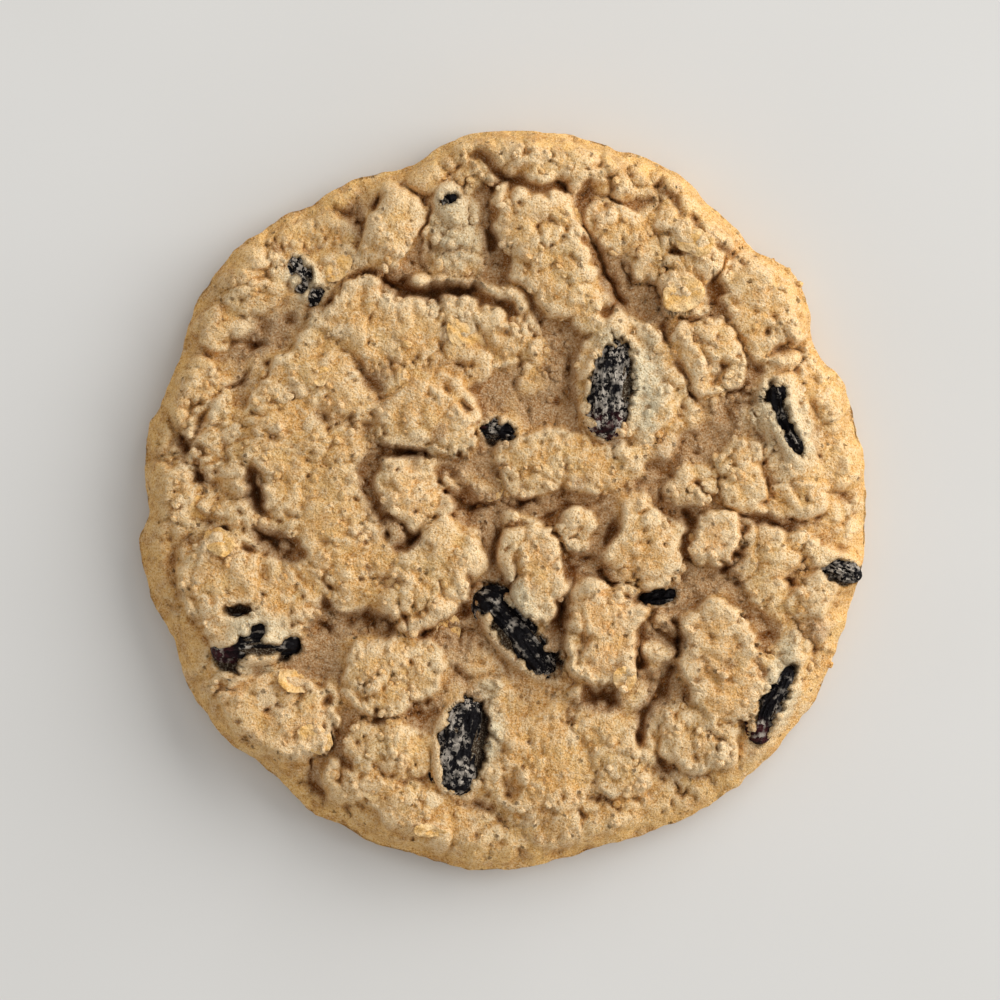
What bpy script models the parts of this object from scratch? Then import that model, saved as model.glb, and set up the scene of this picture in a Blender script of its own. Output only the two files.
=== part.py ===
"""Oatmeal raisin cookie: one baked disc of craggy dough with the raisins that show at its surface.

Frame: +Z up, origin at the middle of the flat underside, +Y towards the side with the folded-over flap.
Sizes below are in millimetres and are turned into metres when a mesh is made.
"""

import math
from collections import namedtuple

import bmesh
import bpy
import numpy as np
from mathutils import Matrix, Vector

MM = 0.001

# Driving sizes of the dough disc, in millimetres.
COOKIE_WIDTH = 85.0          # along X, over the widest lobes
VALLEY_HEIGHT = 8.4          # dough level between the lumps, in the middle
RIM_HEIGHT = 2.8             # where the side is widest
RIM_RISE = 3.3               # rise from the widest line to the shoulder
SHOULDER = 2.6               # how far in the shoulder lies
MIDDLE_REACH = 13.0          # how far in the rim's slope is still felt
FOOT_INSET = 1.1             # the underside is this much smaller all round
SHOULDER_INSET = 0.9         # the top net ends this far inside the widest line
LUMP_BLEND = 2.2             # sharpness of the crease where lumps meet, per millimetre
TOP_CELLS = 104              # cells along one side of the net that makes the top
TOP_SHARE = 0.18             # share of the net's facets kept, most of them along the creases
RAISIN_GAP = 0.3             # clearance between a raisin and its pocket
RAISIN_SEGMENTS = 14
RAISIN_RINGS = 8

# The edge seen from above, anticlockwise from +X: each lobe and notch has a point or two.
EDGE = [
    (42.4, 0.0), (42.3, 5.0), (41.2, 8.2), (40.8, 11.0), (39.6, 14.2), (37.0, 16.4), (36.2, 18.5),
    (35.9, 22.0), (34.6, 25.6), (32.4, 27.6), (29.2, 29.0), (26.6, 32.2), (23.6, 35.0), (21.6, 37.4),
    (18.2, 38.9), (16.4, 40.2), (14.0, 40.2), (10.5, 41.9), (5.0, 42.7), (-2.0, 42.8), (-5.5, 41.9),
    (-8.6, 40.0), (-11.0, 38.3), (-16.0, 37.5), (-19.6, 36.0), (-22.0, 34.0), (-25.4, 33.2),
    (-28.0, 31.0), (-30.4, 29.7), (-33.0, 26.7), (-35.4, 23.0), (-36.7, 18.6), (-37.6, 15.6),
    (-39.4, 11.8), (-41.2, 8.2), (-41.4, 4.5), (-40.8, -2.0), (-42.2, -4.0), (-41.8, -7.0),
    (-40.6, -12.0), (-37.8, -16.6), (-37.2, -20.5), (-34.2, -25.2), (-31.5, -28.8), (-28.3, -30.3),
    (-25.0, -33.3), (-22.4, -36.6), (-19.2, -37.4), (-15.2, -39.9), (-9.0, -41.7), (-4.5, -43.0),
    (3.0, -42.9), (6.6, -41.9), (11.0, -40.6), (17.0, -38.8), (23.0, -36.4), (28.0, -33.0),
    (33.0, -28.0), (37.0, -22.5), (39.6, -16.0), (41.4, -10.2), (42.3, -6.0),
]

# A lump of dough: its middle, half length and half width, the turn of its length from +X, how far its top
# stands over the valleys, the width of its sloping edge, and how steeply its top leans up, towards which way.
Lump = namedtuple("Lump", "x y long wide turn top edge lean toward", defaults=(1.6, 0.0, 0.0))
LUMPS = [
    Lump(-10.5, 18.5, 13.5, 6.6, 8, 2.4, 1.2, 0.14, 85),      # upper half of the big left plate
    Lump(-22.5, 7.5, 12.0, 7.6, 60, 2.0, 1.6, 0.05, 20),      # its left half
    Lump(-18.5, -4.5, 9.0, 6.0, -55, 2.2, 1.4, 0.05, 0),      # its lower left
    Lump(-8.6, 10.2, 5.8, 4.6, -20, 3.0, 1.2),               # knob in its middle
    Lump(-9.8, 0.6, 4.6, 3.6, -50, 2.8, 1.2),
    Lump(-8.2, -8.8, 6.6, 4.4, 62, 3.6, 0.9, 0.05, 20),      # bright plate left of the middle
    Lump(-13.0, -20.0, 5.6, 4.4, 10, 2.6, 1.2, 0.05, 0),
    Lump(-13.0, -28.6, 5.2, 3.6, -20, 1.4, 1.6),
    Lump(-26.6, -24.8, 7.6, 4.9, -18, 1.4, 1.0, 0.14, 10),    # flap at the lower left
    Lump(-29.4, -11.2, 8.0, 6.0, -32, 1.5, 1.4, 0.04, 30),    # lump over the left raisin
    Lump(-38.0, 1.0, 4.8, 2.6, 95, -0.2, 1.2, 0.12, 0),        # clumps along the left rim
    Lump(-32.3, 1.2, 3.2, 2.7, 90, 1.0, 1.1),
    Lump(-35.0, 10.2, 6.0, 3.5, 105, 0.6, 1.3, 0.10, 0),
    Lump(-29.0, 25.8, 4.6, 4.0, 60, 0.8, 1.1, 0.08, -40),
    Lump(-32.2, 20.2, 3.4, 2.8, 20, 0.0, 1.3),
    Lump(-19.0, 27.2, 3.0, 2.0, 55, 0.4, 1.4),
    Lump(-12.8, 31.2, 5.0, 2.6, 65, 1.8, 1.4),                # ridge beside the covered raisin
    Lump(-5.6, 30.0, 5.2, 3.6, 90, 1.4, 1.6),
    Lump(-6.4, 37.4, 4.2, 2.2, 0, 0.7, 1.2),
    Lump(3.6, 39.6, 8.6, 3.1, -6, 1.8, 1.0, 0.22, -90),       # fold at the far edge
    Lump(20.6, 35.0, 7.6, 2.2, -44, 0.2, 1.2, 0.06, 45),      # rolled rim at the upper right
    Lump(14.0, 36.4, 4.0, 1.8, 0, 0.0, 1.4),
    Lump(5.0, 29.6, 8.4, 4.8, 118, 3.2, 1.0, 0.04, 0),       # long tooth of dough
    Lump(10.4, 22.8, 4.4, 3.0, -55, 2.6, 1.1),
    Lump(13.6, 31.8, 3.8, 2.6, -20, 1.2, 1.2),
    Lump(17.0, 27.6, 2.8, 2.4, 60, 1.4, 1.1),
    Lump(22.4, 29.0, 4.2, 3.2, -15, 2.2, 1.1, 0.04, 180),     # plate with the small hole
    Lump(21.0, 23.8, 3.0, 2.5, 10, 2.4, 1.0),
    Lump(23.8, 16.6, 4.8, 3.8, 100, 1.8, 1.2),
    Lump(31.0, 22.4, 6.6, 4.8, 115, 1.0, 1.6, 0.10, 200),     # broad shoulder at the right
    Lump(37.4, 13.0, 4.2, 2.8, 120, -0.6, 1.4, 0.10, 180),
    Lump(39.2, 1.4, 6.2, 2.4, 92, -1.2, 1.4, 0.10, 180),
    Lump(32.6, 7.8, 6.0, 3.2, 100, 1.2, 1.5),                 # mound over the slit raisin
    Lump(27.6, 2.6, 4.0, 2.9, 110, 2.0, 1.1),
    Lump(34.0, 0.2, 3.2, 2.2, 0, 1.0, 1.2),
    Lump(25.0, -4.4, 3.4, 2.7, 70, 2.6, 0.9, 0.06, 0),
    Lump(33.2, -8.8, 6.2, 5.0, -40, 1.4, 1.4, 0.05, 150),
    Lump(15.0, 12.6, 8.6, 6.2, 100, 2.2, 1.6),                # broad mound round the large raisin
    Lump(4.8, 4.6, 5.6, 3.6, 10, 1.8, 1.2),
    Lump(12.6, 4.6, 5.4, 2.8, 20, 2.2, 1.2),
    Lump(21.6, 1.6, 3.0, 2.4, -40, 1.4, 1.2),
    Lump(16.6, -5.6, 4.8, 3.8, 60, 2.8, 1.1),
    Lump(8.8, -3.6, 2.6, 1.6, 65, 2.2, 1.0),
    Lump(3.6, -8.0, 6.2, 2.9, -70, 3.4, 0.9, 0.05, 0),       # tongue between the holes
    Lump(11.8, -15.2, 5.8, 3.9, 85, 3.8, 0.9, 0.03, 90),     # spiked plate
    Lump(18.2, -15.8, 3.0, 2.0, 85, 1.4, 1.0),
    Lump(25.2, -18.6, 6.8, 4.6, 110, 2.6, 1.3),
    Lump(23.2, -27.2, 4.6, 4.4, 0, 1.2, 1.6),
    Lump(32.0, -21.4, 6.2, 2.5, 68, 0.6, 1.4),                # mound over the right raisin
    Lump(-4.0, -4.8, 2.6, 1.8, 80, 1.4, 1.1),
    Lump(-14.0, -33.8, 7.0, 2.6, -22, 1.0, 1.1, 0.06, 60),    # ridge at the lower left
    Lump(-9.2, -37.0, 3.6, 2.0, -20, 0.2, 1.0),
    Lump(-3.0, -38.0, 3.4, 2.4, 0, -0.6, 1.4),
    Lump(4.6, -30.0, 7.6, 5.8, 0, 1.0, 2.4),                  # broad lower swell
    Lump(13.0, -29.6, 4.4, 4.8, 60, 1.4, 2.0),
    Lump(9.0, -37.0, 7.0, 3.0, 10, -0.4, 1.8),
]

# A crack or pit between lumps: its width, its depth and the points it runs through.
Crack = namedtuple("Crack", "wide deep run")
CRACKS = [
    Crack(1.8, 3.0, [(-13.3, 25.0), (-10.0, 23.9), (-4.0, 24.0), (-0.5, 23.0), (1.6, 21.5)]),
    Crack(1.5, 2.6, [(-3.0, 40.3), (-1.5, 38.8), (0.0, 37.5), (2.5, 36.4), (7.0, 36.0)]),
    Crack(1.2, 1.8, [(8.5, 35.7), (10.0, 36.8), (13.0, 37.8)]),
    Crack(1.2, 1.6, [(12.8, 34.7), (15.0, 34.2)]),
    Crack(1.7, 2.2, [(-1.0, 34.0), (-1.5, 31.0), (-1.8, 28.0)]),
    Crack(1.5, 2.6, [(9.5, 30.0), (12.5, 25.5), (13.5, 23.0), (12.0, 21.5)]),
    Crack(1.3, 2.0, [(13.5, 27.5), (15.0, 25.5), (18.5, 24.0)]),
    Crack(1.3, 1.6, [(16.0, 31.0), (19.0, 31.2)]),
    Crack(1.2, 1.8, [(20.5, 21.0), (22.0, 20.5), (24.0, 21.3)]),
    Crack(1.4, 1.8, [(17.5, 37.3), (19.5, 35.2), (22.0, 32.7), (25.3, 28.9), (27.5, 27.3)]),
    Crack(1.2, 1.8, [(19.0, 20.0), (19.3, 18.0), (20.0, 16.5), (21.5, 14.0), (22.3, 12.0)]),
    Crack(1.2, 1.4, [(28.7, 16.2), (30.0, 15.0)]),
    Crack(1.2, 1.4, [(30.7, 17.0), (33.0, 18.3), (34.5, 18.3)]),
    Crack(2.4, 1.2, [(25.2, 8.2), (28.2, 11.4)]),
    Crack(1.8, 1.2, [(17.2, 6.0), (20.5, 7.0), (19.6, 4.0), (16.4, 1.2)]),
    Crack(1.2, 2.4, [(28.0, -1.8), (31.0, -2.2), (33.5, -3.3)]),
    Crack(1.2, 2.0, [(28.0, -3.0), (27.5, -5.0), (27.2, -7.3), (24.5, -8.5)]),
    Crack(1.2, 1.8, [(21.0, -1.5), (22.0, -3.0), (20.3, -5.0), (22.3, -7.0)]),
    Crack(1.4, 1.8, [(12.8, -3.0), (12.0, -6.5), (12.0, -8.0)]),
    Crack(1.2, 1.6, [(13.0, -10.5), (15.5, -11.5)]),
    Crack(1.2, 1.8, [(23.0, -11.5), (20.5, -14.0), (20.2, -18.0)]),
    Crack(1.3, 1.5, [(31.0, -15.5), (29.5, -17.0), (30.0, -21.0)]),
    Crack(1.2, 1.4, [(35.0, -14.0), (37.0, -14.0)]),
    Crack(1.4, 2.2, [(7.0, -12.6), (7.0, -13.4)]),
    Crack(1.2, 1.6, [(19.0, -22.0), (17.5, -24.0), (16.0, -27.5)]),
    Crack(1.2, 1.6, [(16.5, -28.0), (18.0, -30.0), (20.5, -33.5)]),
    Crack(1.3, 1.6, [(10.0, -23.0), (12.8, -23.2)]),
    Crack(1.4, 2.0, [(-19.7, -26.0), (-19.8, -28.5), (-18.5, -30.5), (-17.0, -31.2)]),
    Crack(1.2, 1.6, [(-22.5, -29.3), (-22.2, -33.0), (-21.8, -36.0)]),
    Crack(1.4, 1.8, [(-22.0, -20.8), (-20.5, -23.5)]),
    Crack(2.2, 2.0, [(-25.5, -3.5), (-23.5, -6.3), (-21.0, -9.5), (-20.0, -12.0), (-20.5, -14.0)]),
    Crack(2.4, 1.8, [(-16.6, -13.8), (-15.0, -13.8)]),
    Crack(1.6, 2.2, [(-13.0, -9.6), (-12.6, -9.2)]),
    Crack(1.4, 2.0, [(-11.0, -16.5), (-8.5, -15.0), (-5.0, -14.0), (-4.3, -13.0)]),
    Crack(1.2, 1.6, [(-10.7, -24.8), (-8.3, -24.5)]),
    Crack(1.2, 2.0, [(-3.8, -9.5), (-3.6, -9.1)]),
    Crack(1.3, 2.2, [(-16.3, 1.3), (-14.5, -0.6), (-13.2, -2.5), (-13.2, -4.0)]),
    Crack(1.2, 2.0, [(-12.0, -5.8), (-9.5, -3.7)]),
    Crack(1.6, 1.6, [(-17.5, 18.0), (-16.3, 14.5), (-15.0, 13.0), (-14.3, 10.5)]),
    Crack(1.3, 1.6, [(-8.0, 13.3), (-5.5, 12.2), (-3.7, 10.5)]),
    Crack(1.3, 1.8, [(-15.2, 7.0), (-12.3, 5.7), (-9.0, 5.5), (-8.0, 3.5), (-6.2, 2.1)]),
    Crack(1.2, 1.8, [(-5.1, -1.0), (-1.0, -0.4), (1.5, -0.8), (3.2, 0.2)]),
    Crack(1.2, 1.8, [(0.5, -3.0), (4.0, -2.5), (7.3, -1.0)]),
    Crack(1.2, 1.8, [(6.3, 11.5), (8.7, 11.2)]),
    Crack(1.7, 2.6, [(-29.3, 3.5), (-28.5, 0.0), (-27.5, -1.0)]),
    Crack(1.2, 2.2, [(-28.0, -3.7), (-26.0, -5.2), (-25.5, -6.0)]),
    Crack(1.2, 1.8, [(-32.2, -3.3), (-29.3, -6.0)]),
    Crack(1.3, 1.4, [(-37.5, 7.3), (-36.0, 6.0), (-34.0, 5.7)]),
    Crack(1.2, 1.6, [(-35.5, 4.5), (-35.0, -1.0), (-34.0, -2.5)]),
    Crack(1.3, 1.2, [(-38.4, -5.5), (-38.3, -9.0), (-35.5, -14.0), (-33.5, -17.5)]),
    Crack(1.3, 1.6, [(-26.5, 30.0), (-24.8, 26.0), (-24.2, 24.8)]),
    Crack(1.3, 1.4, [(-20.0, 33.7), (-16.0, 33.5), (-14.0, 35.0)]),
    Crack(1.8, 1.6, [(-21.0, 23.0), (-27.0, 19.0), (-30.0, 17.0)]),
    Crack(1.3, 1.2, [(-5.5, -34.9), (-1.2, -36.2)]),
    Crack(1.3, 1.4, [(-13.0, -32.5), (-9.5, -32.3)]),
    Crack(1.2, 1.6, [(2.7, -33.3), (3.3, -32.7)]),
]

# A raisin: its middle (z from the valley level), half length, half width, half height, the turn of its
# length from +X, its dip and how many folds run along it.
Raisin = namedtuple("Raisin", "x y z long wide deep turn dip folds")
RAISINS = {
    "raisin_large_upper": Raisin(13.1, 12.8, 0.4, 5.9, 3.0, 2.2, 84, 3, 5),
    "raisin_slit_right": Raisin(32.9, 9.2, -0.3, 4.4, 2.0, 1.8, 107, -4, 4),
    "raisin_middle": Raisin(-0.5, 8.0, -0.8, 3.0, 1.7, 1.6, -10, 0, 4),
    "raisin_long": Raisin(1.9, -15.4, -0.8, 6.6, 2.9, 2.2, -51, 4, 5),
    "raisin_lower": Raisin(-4.7, -28.4, -0.9, 5.8, 3.2, 2.3, 80, 2, 5),
    "raisin_left": Raisin(-28.6, -16.4, -0.7, 5.3, 3.1, 2.3, 3, 0, 5),
    "raisin_right": Raisin(31.3, -23.6, -0.9, 4.9, 2.0, 1.8, 66, 2, 4),
    "raisin_rim": Raisin(38.8, -8.2, -1.9, 3.2, 1.7, 1.5, -14, -4, 4),
    "raisin_crack": Raisin(18.6, -11.4, -1.0, 2.7, 1.5, 1.5, 10, 0, 4),
    "raisin_upper_left": Raisin(-22.8, 25.4, -1.5, 3.5, 2.2, 1.8, 128, 0, 4),
    "raisin_covered": Raisin(-5.8, 33.8, -0.2, 3.0, 1.8, 1.7, 108, -3, 4),
}

DOUGH_COLOUR = (0.55, 0.34, 0.15, 1.0)
RAISIN_COLOUR = (0.018, 0.010, 0.012, 1.0)


def clear_scene():
    for obj in list(bpy.data.objects):
        bpy.data.objects.remove(obj, do_unlink=True)


def collection(name):
    made = bpy.data.collections.new(name)
    bpy.context.scene.collection.children.link(made)
    return made


def material(name, colour, roughness):
    made = bpy.data.materials.new(name)
    made.use_nodes = True
    shader = made.node_tree.nodes["Principled BSDF"]
    shader.inputs["Base Color"].default_value = colour
    shader.inputs["Roughness"].default_value = roughness
    shader.inputs["Metallic"].default_value = 0.0
    return made


def edge_radius(angle):
    """Distance from the middle to the edge, in millimetres, in each direction given in radians."""
    points = np.array(EDGE)
    middle = (points.max(0) + points.min(0)) / 2
    points = (points - middle) * COOKIE_WIDTH / np.ptp(points[:, 0])
    at = np.unwrap(np.arctan2(points[:, 1], points[:, 0]))
    reach = np.hypot(points[:, 0], points[:, 1])
    turn = 2 * math.pi
    at = np.concatenate([at - turn, at, at + turn])
    reach = np.tile(reach, 3)
    # A little averaging over neighbouring directions rounds the corners between the points.
    steps = np.radians(np.linspace(-1.6, 1.6, 5))
    return np.mean([np.interp(np.mod(angle, turn) + step, at, reach) for step in steps], axis=0)


def smooth_step(value):
    value = np.clip(value, 0.0, 1.0)
    return value * value * (3 - 2 * value)


def lump_top(lump, x, y):
    """Height of one lump over points x, y: a crowned top, a sloping edge, and far below outside it."""
    turn = math.radians(lump.turn)
    dx, dy = x - lump.x, y - lump.y
    along = (dx * math.cos(turn) + dy * math.sin(turn)) / lump.long
    across = (dy * math.cos(turn) - dx * math.sin(turn)) / lump.wide
    apart = (np.abs(along) ** 2.6 + np.abs(across) ** 2.6) ** (1 / 2.6)
    outside = (apart - 1.0) * min(lump.long, lump.wide)
    toward = math.radians(lump.toward)
    lean = lump.lean * (dx * math.cos(toward) + dy * math.sin(toward))
    crown = 0.9 * np.minimum(apart, 1.0) ** 2
    fall = 2.4 * np.maximum(outside + lump.edge / 2, 0.0) ** 1.5 / lump.edge ** 0.5
    return VALLEY_HEIGHT + lump.top + lean - crown - fall


def from_run(run, x, y):
    """Distance of points x, y from a line through the points of run."""
    nearest = np.full(x.shape, 1e9)
    for (ax, ay), (bx, by) in zip(run, run[1:]):
        ux, uy = bx - ax, by - ay
        share = np.clip(((x - ax) * ux + (y - ay) * uy) / (ux * ux + uy * uy), 0, 1)
        nearest = np.minimum(nearest, np.hypot(x - ax - share * ux, y - ay - share * uy))
    return nearest


def dough_height(x, y):
    """Height of the dough's top over points x, y, in millimetres."""
    inside = edge_radius(np.arctan2(y, x)) - np.hypot(x, y)
    shoulder = RIM_RISE * np.sqrt(1 - (1 - np.clip(inside / SHOULDER, 0, 1)) ** 2)
    climb = smooth_step(inside / MIDDLE_REACH)
    valley = RIM_HEIGHT + shoulder + (VALLEY_HEIGHT - RIM_HEIGHT - RIM_RISE) * climb
    total = np.exp(LUMP_BLEND * valley)
    for lump in LUMPS:
        total += np.exp(LUMP_BLEND * np.maximum(lump_top(lump, x, y), 0.0))
    height = np.log(total) / LUMP_BLEND
    for crack in CRACKS:
        height -= crack.deep * np.exp(-(from_run(crack.run, x, y) / (0.62 * crack.wide)) ** 2)
    # Near the edge the lumps shrink into the rounded rim.
    return RIM_HEIGHT + (height - RIM_HEIGHT) * np.sqrt(np.clip(inside / SHOULDER, 0, 1)).clip(0.25, 1)


def disc_place(u, v):
    """A point of the square net (-1 to 1 each way) as a share of the radius and a direction."""
    share = np.maximum(np.abs(u), np.abs(v))
    flat = np.abs(u) >= np.abs(v)
    slope = np.where(flat, v / np.where(u == 0, 1, u), u / np.where(v == 0, 1, v))
    direction = np.where(flat, slope * math.pi / 4, math.pi / 2 - slope * math.pi / 4)
    direction += np.where((flat & (u < 0)) | (~flat & (v < 0)), math.pi, 0.0)
    return share, direction


def dough_top(bm):
    """The crown of the cookie: a square net laid on the disc and lifted to the dough's height."""
    made = bmesh.ops.create_grid(bm, x_segments=TOP_CELLS, y_segments=TOP_CELLS, size=1.0)
    net = np.array([v.co[:2] for v in made["verts"]])
    share, direction = disc_place(net[:, 0], net[:, 1])
    reach = share * (edge_radius(direction) - SHOULDER_INSET)
    x, y = reach * np.cos(direction), reach * np.sin(direction)
    for vert, px, py, pz in zip(made["verts"], x, y, dough_height(x, y)):
        vert.co = Vector((px, py, pz)) * MM


def keep_share(bm, share):
    """Thins the facets of an open net, keeping them close where it bends most."""
    fine = bpy.data.meshes.new("fine net")
    bm.to_mesh(fine)
    holder = bpy.data.objects.new("fine net", fine)
    bpy.context.scene.collection.objects.link(holder)
    thin = holder.modifiers.new("thin", "DECIMATE")
    thin.ratio = share
    graph = bpy.context.evaluated_depsgraph_get()
    thinned = bpy.data.meshes.new_from_object(holder.evaluated_get(graph))
    bm.clear()
    bm.from_mesh(thinned)
    bpy.data.objects.remove(holder, do_unlink=True)
    bpy.data.meshes.remove(fine)
    bpy.data.meshes.remove(thinned)


def dough_side(bm):
    """The rounded side, from the top's edge out to the widest line and in again to the flat underside."""
    rim = [e for e in bm.edges if e.is_boundary]
    for inset, height in ((0.0, RIM_HEIGHT), (0.25, 1.0), (FOOT_INSET, 0.0)):
        made = bmesh.ops.extrude_edge_only(bm, edges=rim)["geom"]
        for vert in (g for g in made if isinstance(g, bmesh.types.BMVert)):
            direction = math.atan2(vert.co.y, vert.co.x)
            reach = float(edge_radius(direction)) - inset
            vert.co = Vector((reach * math.cos(direction), reach * math.sin(direction), height)) * MM
        rim = [g for g in made if isinstance(g, bmesh.types.BMEdge)]
    bmesh.ops.contextual_create(bm, geom=rim)
    bm.normal_update()
    bmesh.ops.recalc_face_normals(bm, faces=bm.faces)


def make_dough(parts, finish):
    bm = bmesh.new()
    dough_top(bm)
    keep_share(bm, TOP_SHARE)
    dough_side(bm)
    bmesh.ops.triangulate(bm, faces=[f for f in bm.faces if len(f.verts) == 4])
    mesh = bpy.data.meshes.new("cookie")
    bm.to_mesh(mesh)
    bm.free()
    mesh.shade_smooth()
    mesh.set_sharp_from_angle(angle=math.radians(50))
    mesh.materials.append(finish)
    cookie = bpy.data.objects.new("cookie", mesh)
    parts.objects.link(cookie)
    return cookie


def raisin_mesh(name, raisin, swell):
    """A dried grape: an egg-like body with lengthwise folds, grown all round by swell millimetres."""
    bm = bmesh.new()
    bmesh.ops.create_uvsphere(bm, u_segments=RAISIN_SEGMENTS, v_segments=RAISIN_RINGS, radius=1.0)
    for vert in bm.verts:
        length = vert.co.z                    # the sphere's poles become the raisin's two ends
        round_angle = math.atan2(vert.co.y, vert.co.x)
        fold = 1 + 0.12 * math.cos(raisin.folds * round_angle + 1.7 * length) * (1 - length * length)
        taper = 1 - 0.14 * length
        bow = 0.10 * raisin.wide * (1 - 2 * length * length)
        vert.co = Vector((
            length * (raisin.long + swell),
            vert.co.x * fold * taper * (raisin.wide + swell) + bow,
            vert.co.y * fold * taper * (raisin.deep + swell),
        )) * MM
    mesh = bpy.data.meshes.new(name)
    bm.to_mesh(mesh)
    bm.free()
    mesh.shade_smooth()
    return mesh


def make_raisin(name, raisin, swell, into):
    obj = bpy.data.objects.new(name, raisin_mesh(name, raisin, swell))
    obj.location = Vector((raisin.x, raisin.y, VALLEY_HEIGHT + raisin.z)) * MM
    obj.rotation_euler = (0.0, math.radians(-raisin.dip), math.radians(raisin.turn))
    into.objects.link(obj)
    return obj


def cut_pocket(cookie, cutter):
    """Leaves a pocket in the dough that clears the raisin by RAISIN_GAP."""
    cutter.hide_render = True
    cutter.display_type = "WIRE"
    pocket = cookie.modifiers.new("pocket " + cutter.name, "BOOLEAN")
    pocket.operation = "DIFFERENCE"
    pocket.solver = "EXACT"
    pocket.object = cutter


def main():
    clear_scene()
    parts = collection("oatmeal raisin cookie")
    cutters = collection("pocket cutters")
    dough = material("baked dough", DOUGH_COLOUR, 0.85)
    fruit = material("raisin skin", RAISIN_COLOUR, 0.45)
    cookie = make_dough(parts, dough)
    for name, raisin in RAISINS.items():
        fruit_piece = make_raisin(name, raisin, 0.0, parts)
        fruit_piece.data.materials.append(fruit)
        cut_pocket(cookie, make_raisin("cutter_" + name, raisin, RAISIN_GAP, cutters))


main()
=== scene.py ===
"""Oatmeal raisin cookie: craggy baked dough, the raisins in it, oat flakes and crumbs, on a pale floor.

Lengths in the lists below are in millimetres, in the frame's own axes: +Z up, origin at the middle of the
flat underside. Meshes are made in metres.
"""

import math
from collections import namedtuple

import bmesh
import bpy
import numpy as np
from bpy.props import FloatProperty, FloatVectorProperty, IntProperty, PointerProperty
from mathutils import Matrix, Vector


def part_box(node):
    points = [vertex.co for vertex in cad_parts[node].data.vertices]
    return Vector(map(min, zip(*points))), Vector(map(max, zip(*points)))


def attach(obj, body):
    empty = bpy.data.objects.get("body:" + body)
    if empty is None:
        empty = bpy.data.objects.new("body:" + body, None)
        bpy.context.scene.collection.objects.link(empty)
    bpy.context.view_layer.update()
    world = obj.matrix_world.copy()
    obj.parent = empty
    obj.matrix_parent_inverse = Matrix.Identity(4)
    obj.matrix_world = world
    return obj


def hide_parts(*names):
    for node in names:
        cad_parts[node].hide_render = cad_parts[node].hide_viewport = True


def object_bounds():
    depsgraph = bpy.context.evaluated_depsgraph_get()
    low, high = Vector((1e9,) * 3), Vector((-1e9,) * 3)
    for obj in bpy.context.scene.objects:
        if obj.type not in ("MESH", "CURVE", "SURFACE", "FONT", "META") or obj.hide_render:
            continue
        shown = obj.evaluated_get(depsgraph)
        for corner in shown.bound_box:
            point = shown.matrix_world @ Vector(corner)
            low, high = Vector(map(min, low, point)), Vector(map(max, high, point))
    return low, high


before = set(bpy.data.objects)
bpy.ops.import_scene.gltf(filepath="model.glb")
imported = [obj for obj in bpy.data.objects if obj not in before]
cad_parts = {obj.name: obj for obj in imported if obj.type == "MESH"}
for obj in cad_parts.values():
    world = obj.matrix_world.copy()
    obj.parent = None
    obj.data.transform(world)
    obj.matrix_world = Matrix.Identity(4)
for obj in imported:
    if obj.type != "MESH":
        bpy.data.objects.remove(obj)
CAD_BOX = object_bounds()

bl_info = {
    "name": "Oatmeal raisin cookie",
    "version": (1, 0, 0),
    "blender": (4, 5, 0),
    "location": "3D View > Sidebar > Cookie",
    "description": "Builds a craggy oatmeal cookie with raisins, oat flakes and crumbs",
    "category": "Add Mesh",
}

MM = 0.001

# Levels of the dough, the same as the solid's.
VALLEY_HEIGHT = 8.4          # between the lumps, in the middle
PLATE_GAP = 0.35             # how deep the gap round a plate is
WHOLE_CRACK = 2.3            # a crack less deep than this is broken up by crumb
CRACK_SHARE = 0.9            # how much of its depth a crack keeps
PORE_SHARE = 0.80            # the share of the scattered points that have no pore
RIM_HEIGHT = 2.8             # where the side is widest
RIM_RISE = 3.3               # from the widest line to the shoulder
SHOULDER = 2.6               # how far in the shoulder lies
MIDDLE_REACH = 13.0          # how far in the rim's slope is still felt
SIDE = [                     # inset and height of the rings from the shoulder down to the underside
    (0.03, 3.3), (0.0, 2.8), (0.03, 2.2), (0.12, 1.6), (0.3, 1.0), (0.55, 0.5), (0.85, 0.18), (1.15, 0.0),
]

# The edge seen from above, anticlockwise from +X: each lobe and notch has a point or two.
EDGE = [
    (42.4, 0.0), (42.3, 5.0), (41.2, 8.2), (40.8, 11.0), (39.6, 14.2), (37.0, 16.4), (36.2, 18.5),
    (35.9, 22.0), (34.6, 25.6), (32.4, 27.6), (29.2, 29.0), (26.6, 32.2), (23.6, 35.0), (21.6, 37.4),
    (18.2, 38.9), (16.4, 40.2), (14.0, 40.2), (10.5, 41.9), (5.0, 42.7), (-2.0, 42.8), (-5.5, 41.9),
    (-8.6, 40.0), (-11.0, 38.3), (-16.0, 37.5), (-19.6, 36.0), (-22.0, 34.0), (-25.4, 33.2),
    (-28.0, 31.0), (-30.4, 29.7), (-33.0, 26.7), (-35.4, 23.0), (-36.7, 18.6), (-37.6, 15.6),
    (-39.4, 11.8), (-41.2, 8.2), (-41.4, 4.5), (-40.8, -2.0), (-42.2, -4.0), (-41.8, -7.0),
    (-40.6, -12.0), (-37.8, -16.6), (-37.2, -20.5), (-34.2, -25.2), (-31.5, -28.8), (-28.3, -30.3),
    (-25.0, -33.3), (-22.4, -36.6), (-19.2, -37.4), (-15.2, -39.9), (-9.0, -41.7), (-4.5, -43.0),
    (3.0, -42.9), (6.6, -41.9), (11.0, -40.6), (17.0, -38.8), (23.0, -36.4), (28.0, -33.0),
    (33.0, -28.0), (37.0, -22.5), (39.6, -16.0), (41.4, -10.2), (42.3, -6.0),
]

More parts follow.
